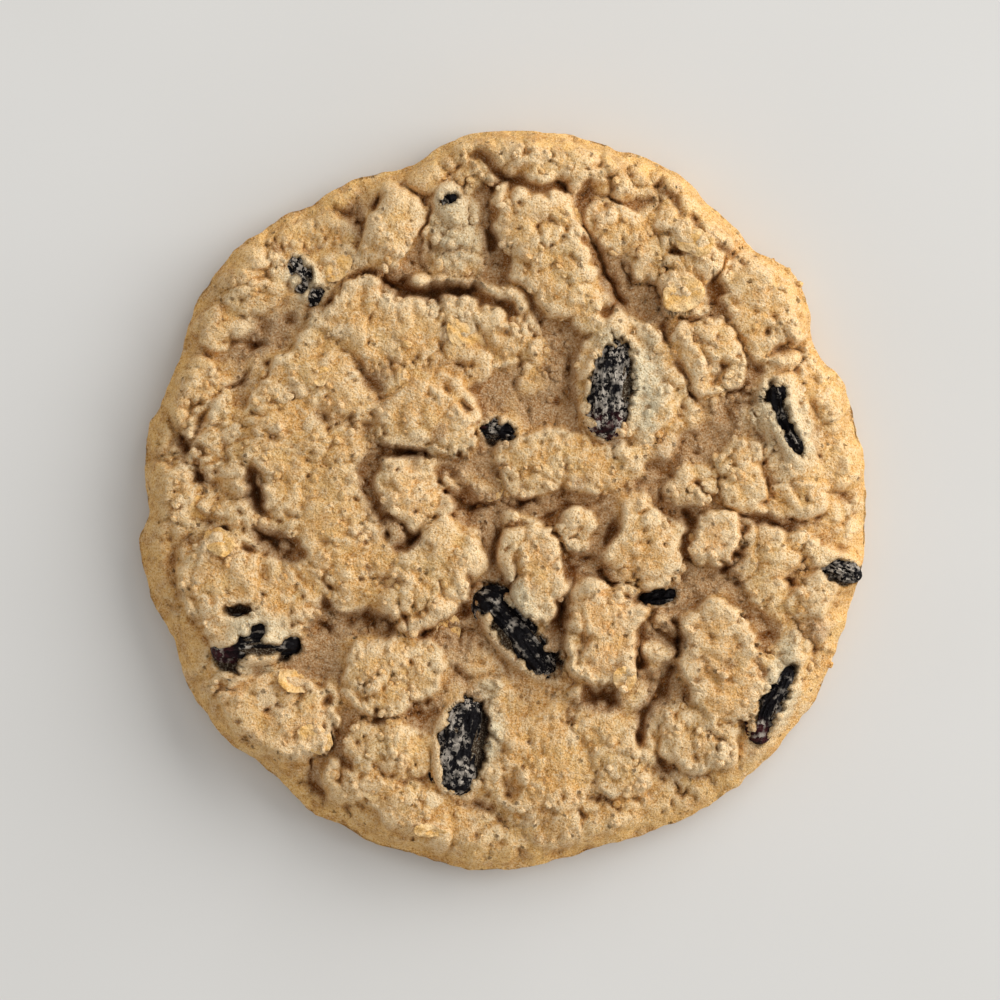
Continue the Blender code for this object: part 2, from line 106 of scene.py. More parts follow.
# A lump of dough: its middle, half length and half width, the turn of its length from +X, how far its top
# stands over the valleys, the width of its sloping edge, and how steeply its top leans up, towards which
# way.
Lump = namedtuple("Lump", "x y long wide turn top edge lean toward", defaults=(1.6, 0.0, 0.0))
LUMPS = [
    Lump(-10.5, 18.5, 13.5, 6.6, 8, 2.4, 1.2, 0.14, 85),      # upper half of the big left plate
    Lump(-22.5, 7.5, 12.0, 7.6, 60, 2.0, 1.6, 0.05, 20),      # its left half
    Lump(-18.5, -4.5, 9.0, 6.0, -55, 2.2, 1.4, 0.05, 0),      # its lower left
    Lump(-8.6, 10.2, 5.8, 4.6, -20, 3.0, 1.2),               # knob in its middle
    Lump(-9.8, 0.6, 4.6, 3.6, -50, 2.8, 1.2),
    Lump(-8.2, -8.8, 6.6, 4.4, 62, 3.6, 0.9, 0.05, 20),      # bright plate left of the middle
    Lump(-13.0, -20.0, 5.6, 4.4, 10, 2.6, 1.2, 0.05, 0),
    Lump(-13.0, -28.6, 5.2, 3.6, -20, 1.4, 1.6),
    Lump(-26.6, -24.8, 7.6, 4.9, -18, 1.4, 1.0, 0.14, 10),    # flap at the lower left
    Lump(-29.4, -11.2, 8.0, 6.0, -32, 1.5, 1.4, 0.04, 30),    # lump over the left raisin
    Lump(-38.0, 1.0, 4.8, 2.6, 95, -0.2, 1.2, 0.12, 0),        # clumps along the left rim
    Lump(-32.3, 1.2, 3.2, 2.7, 90, 1.0, 1.1),
    Lump(-35.0, 10.2, 6.0, 3.5, 105, 0.6, 1.3, 0.10, 0),
    Lump(-29.0, 25.8, 4.6, 4.0, 60, 0.8, 1.1, 0.08, -40),
    Lump(-32.2, 20.2, 3.4, 2.8, 20, 0.0, 1.3),
    Lump(-19.0, 27.2, 3.0, 2.0, 55, 0.4, 1.4),
    Lump(-12.8, 31.2, 5.0, 2.6, 65, 1.8, 1.4),                # ridge beside the covered raisin
    Lump(-5.6, 30.0, 5.2, 3.6, 90, 1.4, 1.6),
    Lump(-6.4, 37.4, 4.2, 2.2, 0, 0.7, 1.2),
    Lump(3.6, 39.6, 8.6, 3.1, -6, 1.8, 1.0, 0.22, -90),       # fold at the far edge
    Lump(20.6, 35.0, 7.6, 2.2, -44, 0.2, 1.2, 0.06, 45),      # rolled rim at the upper right
    Lump(14.0, 36.4, 4.0, 1.8, 0, 0.0, 1.4),
    Lump(5.0, 29.6, 8.4, 4.8, 118, 3.2, 1.0, 0.04, 0),       # long tooth of dough
    Lump(10.4, 22.8, 4.4, 3.0, -55, 2.6, 1.1),
    Lump(13.6, 31.8, 3.8, 2.6, -20, 1.2, 1.2),
    Lump(17.0, 27.6, 2.8, 2.4, 60, 1.4, 1.1),
    Lump(22.4, 29.0, 4.2, 3.2, -15, 2.2, 1.1, 0.04, 180),     # plate with the small hole
    Lump(21.0, 23.8, 3.0, 2.5, 10, 2.4, 1.0),
    Lump(23.8, 16.6, 4.8, 3.8, 100, 1.8, 1.2),
    Lump(31.0, 22.4, 6.6, 4.8, 115, 1.0, 1.6, 0.10, 200),     # broad shoulder at the right
    Lump(37.4, 13.0, 4.2, 2.8, 120, -0.6, 1.4, 0.10, 180),
    Lump(39.2, 1.4, 6.2, 2.4, 92, -1.2, 1.4, 0.10, 180),
    Lump(32.6, 7.8, 6.0, 3.2, 100, 1.2, 1.5),                 # mound over the slit raisin
    Lump(27.6, 2.6, 4.0, 2.9, 110, 2.0, 1.1),
    Lump(34.0, 0.2, 3.2, 2.2, 0, 1.0, 1.2),
    Lump(25.0, -4.4, 3.4, 2.7, 70, 2.6, 0.9, 0.06, 0),
    Lump(33.2, -8.8, 6.2, 5.0, -40, 1.4, 1.4, 0.05, 150),
    Lump(15.0, 12.6, 8.6, 6.2, 100, 2.2, 1.6),                # broad mound round the large raisin
    Lump(4.8, 4.6, 5.6, 3.6, 10, 1.8, 1.2),
    Lump(12.6, 4.6, 5.4, 2.8, 20, 2.2, 1.2),
    Lump(21.6, 1.6, 3.0, 2.4, -40, 1.4, 1.2),
    Lump(16.6, -5.6, 4.8, 3.8, 60, 2.8, 1.1),
    Lump(8.8, -3.6, 2.6, 1.6, 65, 2.2, 1.0),
    Lump(3.6, -8.0, 6.2, 2.9, -70, 3.4, 0.9, 0.05, 0),       # tongue between the holes
    Lump(11.8, -15.2, 5.8, 3.9, 85, 3.8, 0.9, 0.03, 90),     # spiked plate
    Lump(18.2, -15.8, 3.0, 2.0, 85, 1.4, 1.0),
    Lump(25.2, -18.6, 6.8, 4.6, 110, 2.6, 1.3),
    Lump(23.2, -27.2, 4.6, 4.4, 0, 1.2, 1.6),
    Lump(32.0, -21.4, 6.2, 2.5, 68, 0.6, 1.4),                # mound over the right raisin
    Lump(-4.0, -4.8, 2.6, 1.8, 80, 1.4, 1.1),
    Lump(-14.0, -33.8, 7.0, 2.6, -22, 1.0, 1.1, 0.06, 60),    # ridge at the lower left
    Lump(-9.2, -37.0, 3.6, 2.0, -20, 0.2, 1.0),
    Lump(-3.0, -38.0, 3.4, 2.4, 0, -0.6, 1.4),
    Lump(4.6, -30.0, 7.6, 5.8, 0, 1.0, 2.4),                  # broad lower swell
    Lump(13.0, -29.6, 4.4, 4.8, 60, 1.4, 2.0),
    Lump(9.0, -37.0, 7.0, 3.0, 10, -0.4, 1.8),
]

# A crack or pit between lumps: its width, its depth and the points it runs through.
Crack = namedtuple("Crack", "wide deep run")
CRACKS = [
    Crack(1.8, 3.0, [(-13.3, 25.0), (-10.0, 23.9), (-4.0, 24.0), (-0.5, 23.0), (1.6, 21.5)]),
    Crack(1.5, 2.6, [(-3.0, 40.3), (-1.5, 38.8), (0.0, 37.5), (2.5, 36.4), (7.0, 36.0)]),
    Crack(1.2, 1.8, [(8.5, 35.7), (10.0, 36.8), (13.0, 37.8)]),
    Crack(1.2, 1.6, [(12.8, 34.7), (15.0, 34.2)]),
    Crack(1.7, 2.2, [(-1.0, 34.0), (-1.5, 31.0), (-1.8, 28.0)]),
    Crack(1.5, 2.6, [(9.5, 30.0), (12.5, 25.5), (13.5, 23.0), (12.0, 21.5)]),
    Crack(1.3, 2.0, [(13.5, 27.5), (15.0, 25.5), (18.5, 24.0)]),
    Crack(1.3, 1.6, [(16.0, 31.0), (19.0, 31.2)]),
    Crack(1.2, 1.8, [(20.5, 21.0), (22.0, 20.5), (24.0, 21.3)]),
    Crack(1.4, 1.8, [(17.5, 37.3), (19.5, 35.2), (22.0, 32.7), (25.3, 28.9), (27.5, 27.3)]),
    Crack(1.2, 1.8, [(19.0, 20.0), (19.3, 18.0), (20.0, 16.5), (21.5, 14.0), (22.3, 12.0)]),
    Crack(1.2, 1.4, [(28.7, 16.2), (30.0, 15.0)]),
    Crack(1.2, 1.4, [(30.7, 17.0), (33.0, 18.3), (34.5, 18.3)]),
    Crack(2.4, 1.2, [(25.2, 8.2), (28.2, 11.4)]),
    Crack(1.8, 1.2, [(17.2, 6.0), (20.5, 7.0), (19.6, 4.0), (16.4, 1.2)]),
    Crack(1.2, 2.4, [(28.0, -1.8), (31.0, -2.2), (33.5, -3.3)]),
    Crack(1.2, 2.0, [(28.0, -3.0), (27.5, -5.0), (27.2, -7.3), (24.5, -8.5)]),
    Crack(1.2, 1.8, [(21.0, -1.5), (22.0, -3.0), (20.3, -5.0), (22.3, -7.0)]),
    Crack(1.4, 1.8, [(12.8, -3.0), (12.0, -6.5), (12.0, -8.0)]),
    Crack(1.2, 1.6, [(13.0, -10.5), (15.5, -11.5)]),
    Crack(1.2, 1.8, [(23.0, -11.5), (20.5, -14.0), (20.2, -18.0)]),
    Crack(1.3, 1.5, [(31.0, -15.5), (29.5, -17.0), (30.0, -21.0)]),
    Crack(1.2, 1.4, [(35.0, -14.0), (37.0, -14.0)]),
    Crack(1.4, 2.2, [(7.0, -12.6), (7.0, -13.4)]),
    Crack(1.2, 1.6, [(19.0, -22.0), (17.5, -24.0), (16.0, -27.5)]),
    Crack(1.2, 1.6, [(16.5, -28.0), (18.0, -30.0), (20.5, -33.5)]),
    Crack(1.3, 1.6, [(10.0, -23.0), (12.8, -23.2)]),
    Crack(1.4, 2.0, [(-19.7, -26.0), (-19.8, -28.5), (-18.5, -30.5), (-17.0, -31.2)]),
    Crack(1.2, 1.6, [(-22.5, -29.3), (-22.2, -33.0), (-21.8, -36.0)]),
    Crack(1.4, 1.8, [(-22.0, -20.8), (-20.5, -23.5)]),
    Crack(2.2, 2.0, [(-25.5, -3.5), (-23.5, -6.3), (-21.0, -9.5), (-20.0, -12.0), (-20.5, -14.0)]),
    Crack(2.4, 1.8, [(-16.6, -13.8), (-15.0, -13.8)]),
    Crack(1.6, 2.2, [(-13.0, -9.6), (-12.6, -9.2)]),
    Crack(1.4, 2.0, [(-11.0, -16.5), (-8.5, -15.0), (-5.0, -14.0), (-4.3, -13.0)]),
    Crack(1.2, 1.6, [(-10.7, -24.8), (-8.3, -24.5)]),
    Crack(1.2, 2.0, [(-3.8, -9.5), (-3.6, -9.1)]),
    Crack(1.3, 2.2, [(-16.3, 1.3), (-14.5, -0.6), (-13.2, -2.5), (-13.2, -4.0)]),
    Crack(1.2, 2.0, [(-12.0, -5.8), (-9.5, -3.7)]),
    Crack(1.6, 1.6, [(-17.5, 18.0), (-16.3, 14.5), (-15.0, 13.0), (-14.3, 10.5)]),
    Crack(1.3, 1.6, [(-8.0, 13.3), (-5.5, 12.2), (-3.7, 10.5)]),
    Crack(1.3, 1.8, [(-15.2, 7.0), (-12.3, 5.7), (-9.0, 5.5), (-8.0, 3.5), (-6.2, 2.1)]),
    Crack(1.2, 1.8, [(-5.1, -1.0), (-1.0, -0.4), (1.5, -0.8), (3.2, 0.2)]),
    Crack(1.2, 1.8, [(0.5, -3.0), (4.0, -2.5), (7.3, -1.0)]),
    Crack(1.2, 1.8, [(6.3, 11.5), (8.7, 11.2)]),
    Crack(1.7, 2.6, [(-29.3, 3.5), (-28.5, 0.0), (-27.5, -1.0)]),
    Crack(1.2, 2.2, [(-28.0, -3.7), (-26.0, -5.2), (-25.5, -6.0)]),
    Crack(1.2, 1.8, [(-32.2, -3.3), (-29.3, -6.0)]),
    Crack(1.3, 1.4, [(-37.5, 7.3), (-36.0, 6.0), (-34.0, 5.7)]),
    Crack(1.2, 1.6, [(-35.5, 4.5), (-35.0, -1.0), (-34.0, -2.5)]),
    Crack(1.3, 1.2, [(-38.4, -5.5), (-38.3, -9.0), (-35.5, -14.0), (-33.5, -17.5)]),
    Crack(1.3, 1.6, [(-26.5, 30.0), (-24.8, 26.0), (-24.2, 24.8)]),
    Crack(1.3, 1.4, [(-20.0, 33.7), (-16.0, 33.5), (-14.0, 35.0)]),
    Crack(1.8, 1.6, [(-21.0, 23.0), (-27.0, 19.0), (-30.0, 17.0)]),
    Crack(1.3, 1.2, [(-5.5, -34.9), (-1.2, -36.2)]),
    Crack(1.3, 1.4, [(-13.0, -32.5), (-9.5, -32.3)]),
    Crack(1.2, 1.6, [(2.7, -33.3), (3.3, -32.7)]),
    # Fine cracks and creases that only the surface has.
    Crack(0.9, 1.6, [(-5.3, 15.6), (-3.5, 15.6)]),
    Crack(0.8, 1.2, [(-13.0, 3.0), (-13.3, 1.6)]),
    Crack(0.9, 1.4, [(-30.2, -1.5), (-30.0, -3.5)]),
    Crack(0.8, 1.2, [(-33.2, 3.4), (-31.5, 4.4), (-29.3, 4.7)]),
    Crack(0.8, 1.2, [(-31.0, 5.5), (-30.6, 7.0)]),
    Crack(0.7, 1.0, [(-38.7, 9.5), (-38.5, 8.0), (-40.3, 3.0)]),
    Crack(0.7, 1.0, [(-30.0, 9.3), (-27.5, 10.0), (-25.5, 10.3)]),
    Crack(0.8, 1.2, [(-31.5, 17.9), (-29.0, 19.0)]),
    Crack(0.8, 1.6, [(-12.0, -12.5), (-10.8, -14.0)]),
    Crack(0.9, 1.5, [(-0.3, -3.5), (-1.0, -7.0)]),
    Crack(0.8, 1.4, [(-18.2, -35.3), (-17.9, -36.7)]),
    Crack(0.7, 1.2, [(-2.8, -40.2), (-1.5, -41.5)]),
    Crack(0.8, 1.2, [(10.8, -35.0), (11.5, -34.2), (13.0, -35.2)]),
    Crack(0.9, 1.6, [(21.5, -34.0), (19.5, -35.0)]),
    Crack(0.8, 1.4, [(23.5, -26.5), (25.0, -27.7)]),
    Crack(0.8, 1.4, [(22.1, -30.2), (22.6, -30.1)]),
    Crack(0.8, 1.4, [(22.5, -21.2), (23.0, -21.2)]),
    Crack(0.9, 1.6, [(22.5, 2.2), (24.0, 0.0)]),
    Crack(0.8, 1.2, [(36.0, -2.3), (37.0, -1.5)]),
    Crack(0.8, 1.2, [(38.0, -5.0), (39.5, -5.7)]),
    Crack(1.0, 1.6, [(31.1, 19.2), (31.5, 19.6)]),
    Crack(0.9, 1.4, [(-30.2, 21.5), (-29.8, 21.5)]),
    Crack(1.0, 2.4, [(-32.0, -12.7), (-30.0, -12.9)]),
    Crack(0.8, 1.6, [(19.9, 28.7), (20.8, 28.5)]),
    Crack(0.7, 1.2, [(-27.4, 8.1), (-27.0, 7.9)]),
    Crack(0.7, 1.2, [(-26.8, 7.4), (-26.2, 7.2)]),
    Crack(0.7, 1.3, [(-17.7, 9.9), (-17.3, 9.6)]),
    Crack(0.7, 1.3, [(-17.4, 8.9), (-17.0, 8.7)]),
    Crack(0.7, 1.1, [(-24.1, 6.2), (-23.9, 5.8)]),
    Crack(0.6, 1.1, [(-21.8, 5.6), (-21.6, 5.3)]),
    Crack(0.8, 1.2, [(-18.4, 4.5), (-17.6, 4.3)]),
    Crack(0.8, 1.4, [(-17.3, -8.2), (-17.1, -8.0)]),
    Crack(0.7, 1.2, [(-16.1, -4.8), (-15.9, -5.2)]),
    Crack(0.7, 1.2, [(-13.8, 8.6), (-13.5, 7.9)]),
    Crack(0.7, 1.1, [(3.0, 20.5), (3.1, 20.1)]),
    Crack(0.7, 1.1, [(3.9, 19.1), (4.1, 18.9)]),
    Crack(0.8, 1.4, [(34.4, -6.5), (34.6, -6.9)]),
    Crack(0.8, 1.3, [(34.9, -9.5), (35.1, -9.9)]),
    Crack(0.8, 1.3, [(21.8, 32.8), (22.2, 32.8)]),
    Crack(0.8, 1.4, [(13.5, -36.2), (13.9, -36.2)]),
    Crack(0.7, 1.1, [(4.8, 6.7), (5.2, 6.7)]),
    Crack(0.8, 1.4, [(-6.4, -20.3), (-6.0, -20.3)]),
    Crack(0.8, 1.4, [(19.0, -9.7), (20.4, -10.2)]),
    Crack(0.8, 1.4, [(-19.8, -15.3), (-19.2, -15.3)]),
    Crack(0.9, 1.6, [(-8.2, -15.4), (-6.4, -16.0)]),
    Crack(0.9, 1.5, [(24.3, 17.9), (24.7, 17.7)]),
    # The deepest gaps, where nothing but shadow shows.
    Crack(1.5, 3.0, [(-13.0, 24.6), (-10.0, 23.9), (-4.0, 24.0)]),
    Crack(1.2, 2.4, [(-29.0, 3.0), (-28.4, 0.0)]),
    Crack(1.0, 2.4, [(-28.0, -3.9), (-26.2, -5.1)]),
    Crack(1.0, 2.2, [(12.2, 24.6), (13.2, 22.8)]),
    Crack(1.0, 2.0, [(-13.3, -2.6), (-13.2, -3.8)]),
    Crack(1.0, 2.2, [(2.4, 0.0), (3.4, 0.2)]),
    Crack(1.0, 2.0, [(27.4, -4.6), (27.2, -6.8)]),
    # Brown holes and the valley between the plates at the lower right.
    Crack(1.9, 3.4, [(6.9, -12.4), (6.9, -14.6)]),
    Crack(1.7, 3.0, [(9.6, -22.6), (12.4, -23.0)]),
    Crack(1.3, 2.8, [(16.2, -14.4), (16.0, -19.4)]),
    Crack(1.3, 2.6, [(19.6, -19.2), (18.4, -21.6), (16.8, -24.6), (16.0, -27.0)]),
    Crack(1.0, 2.4, [(20.6, -14.4), (20.2, -18.2)]),
]

# A raisin: its half length, half width, half height, the turn of its length from +X, how grey with flour
# and painted glints it is, and the openings in the dough through which it shows: middle, half length, half
# width and turn.
Raisin = namedtuple("Raisin", "long wide deep turn dust openings")
RAISINS = {
    "large_upper": Raisin(5.9, 3.0, 2.2, 84, 0.34, [
        (12.7, 13.0, 5.2, 2.4, 82), (13.4, 16.4, 1.3, 0.9, 60)]),
    "slit_right": Raisin(4.4, 2.0, 1.8, 107, 0.10, [
        (32.2, 10.6, 2.8, 0.75, 108), (33.6, 7.2, 1.7, 0.7, 118), (31.6, 12.2, 1.3, 0.9, 20)]),
    "middle": Raisin(3.0, 1.7, 1.6, -10, 0.25, [(-1.1, 7.9, 1.2, 1.3, 0), (0.5, 7.8, 1.0, 1.0, 0)]),
    "long": Raisin(6.6, 2.9, 2.2, -51, 0.16, [
        (-1.2, -11.6, 1.9, 1.5, -62), (2.2, -15.9, 4.3, 2.1, -47), (4.7, -18.6, 2.2, 1.6, -35)]),
    "lower": Raisin(5.8, 3.2, 2.3, 80, 0.24, [
        (-4.4, -28.4, 5.2, 2.6, 80), (-6.6, -27.4, 1.2, 0.9, 90)]),
    "left": Raisin(5.3, 3.1, 2.3, 3, 0.10, [
        (-32.0, -18.6, 1.7, 1.2, -40), (-30.6, -17.6, 1.2, 0.9, 20), (-29.2, -16.8, 1.6, 1.2, 10),
        (-26.8, -17.3, 1.6, 0.6, -5), (-24.7, -17.3, 1.5, 0.9, 45), (-28.2, -15.3, 0.9, 0.7, 30),
        (-30.6, -12.9, 1.3, 0.6, 5),
    ]),
    "right": Raisin(4.9, 2.0, 1.8, 66, 0.22, [
        (33.0, -20.6, 1.5, 0.8, 60), (31.4, -23.6, 2.3, 1.3, 62), (30.0, -26.6, 1.6, 0.8, 80)]),
    "rim": Raisin(3.2, 1.7, 1.5, -14, 0.35, [(40.0, -8.5, 2.5, 1.3, -14)]),
    "crack": Raisin(2.7, 1.5, 1.5, 10, 0.0, [(18.3, -11.2, 1.9, 0.8, 8)]),
    "upper_left": Raisin(3.5, 2.2, 1.8, 128, 0.50, [
        (-23.8, 26.9, 1.1, 0.8, 128), (-22.6, 26.1, 1.0, 0.6, 100), (-21.6, 23.7, 0.9, 0.7, 60),
        (-23.2, 24.6, 0.7, 0.5, 30),
    ]),
    "covered": Raisin(3.0, 1.8, 1.7, 108, 0.2, [(-6.2, 34.8, 1.0, 0.5, 20)]),
}

# The raisins that end in a wine red tip.
WINE_TIPS = ("large_upper", "left", "right", "middle")

# Where thin dough over a raisin bakes pale and greyish: middle, half length, half width, turn, strength.
PALE_SKINS = [
    (16.7, 13.0, 6.2, 2.2, 86, 1.0), (12.0, 18.6, 2.2, 1.2, 20, 0.6), (32.0, 8.6, 6.4, 3.4, 107, 0.7),
    (35.0, 8.0, 4.6, 1.6, 107, 0.7), (1.8, -11.6, 3.4, 2.4, -45, 0.9), (5.6, -16.9, 1.8, 1.4, 0, 1.0),
    (-2.0, -22.4, 2.2, 1.6, 60, 0.8), (-0.9, -27.6, 3.6, 1.2, 84, 0.9), (-28.2, -14.8, 4.2, 2.2, 0, 0.8),
    (-28.6, -19.6, 2.4, 0.9, 0, 0.8), (32.4, -19.6, 4.4, 1.5, 70, 0.9), (33.2, -24.4, 3.6, 0.9, 66, 0.8),
    (-22.8, 25.4, 3.4, 2.2, 128, 0.7), (-5.4, 31.4, 5.2, 3.0, 95, 0.7), (-24.6, 21.4, 4.0, 2.0, 35, 0.4),
    (-5.5, -17.5, 2.6, 2.0, 0, 0.4), (9.0, -8.0, 3.0, 2.4, 0, 0.3), (27.2, 9.6, 2.6, 2.0, 60, 0.4),
    (37.6, -8.2, 1.2, 1.4, 0, 0.5),
]

# Where fruit juice has stained the dough reddish brown: the same five numbers and a strength.
STAINS = [
    (11.6, -23.2, 2.4, 1.0, 0, 0.8), (18.4, 5.0, 3.0, 2.0, 60, 0.45), (36.4, -15.0, 1.8, 1.4, 0, 0.7),
    (12.6, 7.0, 1.4, 0.9, 0, 0.8), (0.2, -18.2, 3.6, 1.3, -50, 0.5), (19.6, -19.8, 0.8, 0.8, 0, 0.7),
    (-0.6, 6.6, 1.6, 0.7, 0, 0.5), (26.2, -19.0, 1.0, 0.9, 0, 0.6), (-7.2, 7.8, 1.3, 1.0, 40, 0.7),
    (9.0, 2.0, 1.0, 0.8, 30, 0.6), (24.5, 17.8, 0.8, 0.6, 0, 0.5), (33.6, -3.3, 1.0, 0.5, 0, 0.8),
]

# A flat broken plate with crisp edges: height over the valleys, rise per millimetre along X and Y, how
# golden it is, and the few corners of its outline.
Plate = namedtuple("Plate", "top rise_x rise_y gold corners")
PLATES = [
    # The plate with two spikes, right of the long raisin.
    Plate(3.2, 0.07, 0.05, 0.9, [(8, -10.6), (10.6, -11.2), (11.6, -9.2), (12.8, -10.6), (16, -12.6),
                                 (15.4, -14.6), (15.6, -19.6), (13.8, -21.4), (10.4, -21), (9.6, -16.4)]),
    # The tall shard left of it.
    Plate(3.2, 0.08, 0.02, 0.9, [(3, -3.8), (5.6, -3.2), (6.3, -7.4), (7.2, -9.8), (5.8, -12.2),
                                 (5.2, -14.6), (2.4, -10.8), (2.8, -7)]),
    # The pale blade above the shard.
    Plate(3.0, 0.10, 0.05, 0.5, [(6.2, -3.2), (7.6, -1), (9.4, -0.8), (8.6, -3.6), (7.4, -5.4)]),
    # The round plate right of the middle.
    Plate(2.6, 0.07, -0.03, 0.3, [(12.2, -7.4), (14.8, -2), (18.8, -2.2), (20, -4.6), (20.2, -8.2),
                                  (19.2, -10), (15.8, -9.8), (12.4, -9.4)]),
    # The square oat flake at its right.
    Plate(2.7, 0.05, -0.08, 1.0, [(22, -5.8), (22.8, -2.2), (24.6, -1.4), (27.4, -1.6), (27.8, -3.2),
                                  (27, -7.4), (24.4, -7)]),
    # The broad plate at the lower right.
    Plate(2.4, 0.06, 0.05, 0.5, [(20.8, -14.4), (24, -11.4), (27.4, -12.8), (29.4, -16.4), (30, -22.4),
                                 (28.4, -25.8), (23.8, -24.4), (20.6, -19.2)]),
    # The upper edge of the big plate.
    Plate(2.7, 0.01, 0.07, 0.2, [(-21.6, 20.4), (-18, 25.2), (-15.2, 26), (-13, 24.8), (-10.4, 23),
                                 (-7.8, 20.8), (-7.4, 16.4), (-12.4, 14.6), (-16, 16.8)]),
    # The knob on it, the small plate below the knob, and the pale hump at its left.
    Plate(3.3, 0.05, 0.02, 0.5, [(-14.4, 7.2), (-13.2, 11.4), (-10.2, 14), (-6.8, 12.8), (-3.8, 9.4),
                                 (-3.2, 6.2), (-5.4, 5.2), (-9.2, 6.8), (-12.2, 6)]),
    Plate(2.9, 0.06, 0.02, 0.6, [(-14, 4.8), (-9.4, 5.2), (-7.4, 2.4), (-5.4, -1.4), (-9.6, -2.4),
                                 (-12.8, -0.8)]),
    Plate(2.4, 0.03, 0.02, 0.3, [(-22, 14.2), (-20, 17.2), (-17.4, 17), (-15.4, 11.6), (-15.6, 8),
                                 (-19.8, 8.6)]),
    # The lump over the left raisin and the flap below it.
    Plate(1.6, 0.03, 0.02, 0.3, [(-34.6, -5), (-33, -3.6), (-31.4, -5.6), (-25.4, -7.2), (-22.6, -10.6),
                                 (-22.2, -13.2), (-24.4, -16.2), (-33.6, -16.2), (-36, -10.2)]),
    Plate(1.7, 0.09, -0.02, 0.7, [(-33, -22.6), (-31.2, -20.6), (-26.4, -20.2), (-22.2, -21), (-19, -25),
                                  (-20.2, -28.4), (-25, -29.6), (-31, -27.4)]),
]

# An oat flake pressed into the top: middle, half length, half width, turn, tilt and how deep it is sunk.
FLAKES = [
    (-3.7, 18.4, 3.5, 1.7, -38, 8, -0.05), (21.0, 23.7, 2.5, 2.0, 20, 9, 0.15),
    (-21.6, -27.6, 2.3, 1.6, -30, 8, 0.35), (-11.0, -21.5, 2.5, 1.7, 70, 10, 0.2),
    (-21.0, 14.5, 1.6, 1.3, 20, 6, 0.1), (-8.2, -38.4, 2.2, 0.8, -14, 18, 0.0),
    (-19.0, 27.0, 2.1, 1.4, 55, 8, 0.15),
    (22.4, 29.8, 2.4, 1.6, -15, 6, 0.35), (-13.6, -34.4, 2.6, 1.4, -26, 12, 0.25),
]


# ---------------------------------------------------------------------------------------------------
# Random fields over the dough

def noise(x, y, size, seed):
    """A smooth random field, about -1 to 1, whose bumps lie about size millimetres apart."""
    turn = np.random.default_rng(seed).uniform(0, 2 * math.pi, (128, 128))
    gx, gy = np.cos(turn), np.sin(turn)
    u, v = np.asarray(x) / size + 1000.0, np.asarray(y) / size + 1000.0
    iu, iv = np.floor(u).astype(int), np.floor(v).astype(int)
    fu, fv = u - iu, v - iv

    def corner(du, dv):
        i, j = (iu + du) % 128, (iv + dv) % 128
        return gx[i, j] * (fu - du) + gy[i, j] * (fv - dv)

    su, sv = (f * f * f * (f * (6 * f - 15) + 10) for f in (fu, fv))
    near = corner(0, 0) * (1 - su) + corner(1, 0) * su
    far = corner(0, 1) * (1 - su) + corner(1, 1) * su
    return 1.5 * (near * (1 - sv) + far * sv)


def cells(x, y, size, seed):
    """Distance, in sizes, to the nearest of scattered points, and that point's number."""
    jx, jy, tags = np.random.default_rng(seed).uniform(0, 1, (3, 128, 128))
    u, v = np.asarray(x) / size + 1000.0, np.asarray(y) / size + 1000.0
    iu, iv = np.floor(u).astype(int), np.floor(v).astype(int)
    fu, fv = u - iu, v - iv
    nearest, tag = np.full(u.shape, 9.0), np.zeros(u.shape)
    for du in (-1, 0, 1):
        for dv in (-1, 0, 1):
            i, j = (iu + du) % 128, (iv + dv) % 128
            apart = np.hypot(du + jx[i, j] - fu, dv + jy[i, j] - fv)
            closer = apart < nearest
            tag = np.where(closer, tags[i, j], tag)
            nearest = np.where(closer, apart, nearest)
    return nearest, tag


def chips(x, y, size, seed, jag):
    """Flat tilted chips heaped over each other: the height of the topmost in sizes, and its number."""
    jx, jy, tags, ways, spans = np.random.default_rng(seed).uniform(0, 1, (5, 128, 128))
    u, v = np.asarray(x) / size + 1000.0, np.asarray(y) / size + 1000.0
    iu, iv = np.floor(u).astype(int), np.floor(v).astype(int)
    fu, fv = u - iu, v - iv
    top, tag = np.full(u.shape, -9.0), np.zeros(u.shape)
    for du in (-1, 0, 1):
        for dv in (-1, 0, 1):
            i, j = (iu + du) % 128, (iv + dv) % 128
            way = 2 * math.pi * ways[i, j]
            dx, dy = fu - du - jx[i, j], fv - dv - jy[i, j]
            along, across = dx * np.cos(way) + dy * np.sin(way), dy * np.cos(way) - dx * np.sin(way)
            out = np.hypot(along, 1.4 * across) / (0.5 + 0.5 * spans[i, j]) - 1 + jag / size
            chip = 0.38 * tags[i, j] + 0.30 * across + 0.12 * along - 3.0 * np.maximum(out, 0.0)
            tag = np.where(chip > top, spans[i, j], tag)
            top = np.maximum(top, chip)
    return top, tag


def smooth_step(value):
    value = np.clip(value, 0.0, 1.0)
    return value * value * (3 - 2 * value)


def blur(grid, cells_wide):
    """The field averaged over about cells_wide cells of the net each way."""
    reach = int(3 * cells_wide)
    weights = np.exp(-0.5 * (np.arange(-reach, reach + 1) / cells_wide) ** 2)
    weights /= weights.sum()
    padded = np.pad(grid, reach, mode="edge")
    rows = np.apply_along_axis(np.convolve, 1, padded, weights, mode="valid")
    return np.apply_along_axis(np.convolve, 0, rows, weights, mode="valid")


def ledges(value, step):
    """Turns a smooth field into flat treads with steep broken risers between them."""
    whole = np.floor(value / step)
    return step * (whole + smooth_step((value / step - whole - 0.5) / 0.22 + 0.5))


def oval(x, y, middle_x, middle_y, long, wide, turn):
    """How far points lie from an oval's middle: 1 on its outline."""
    angle = math.radians(turn)
    dx, dy = x - middle_x, y - middle_y
    along = (dx * math.cos(angle) + dy * math.sin(angle)) / long
    across = (dy * math.cos(angle) - dx * math.sin(angle)) / wide
    return np.hypot(along, across)


# ---------------------------------------------------------------------------------------------------
# The dough's form

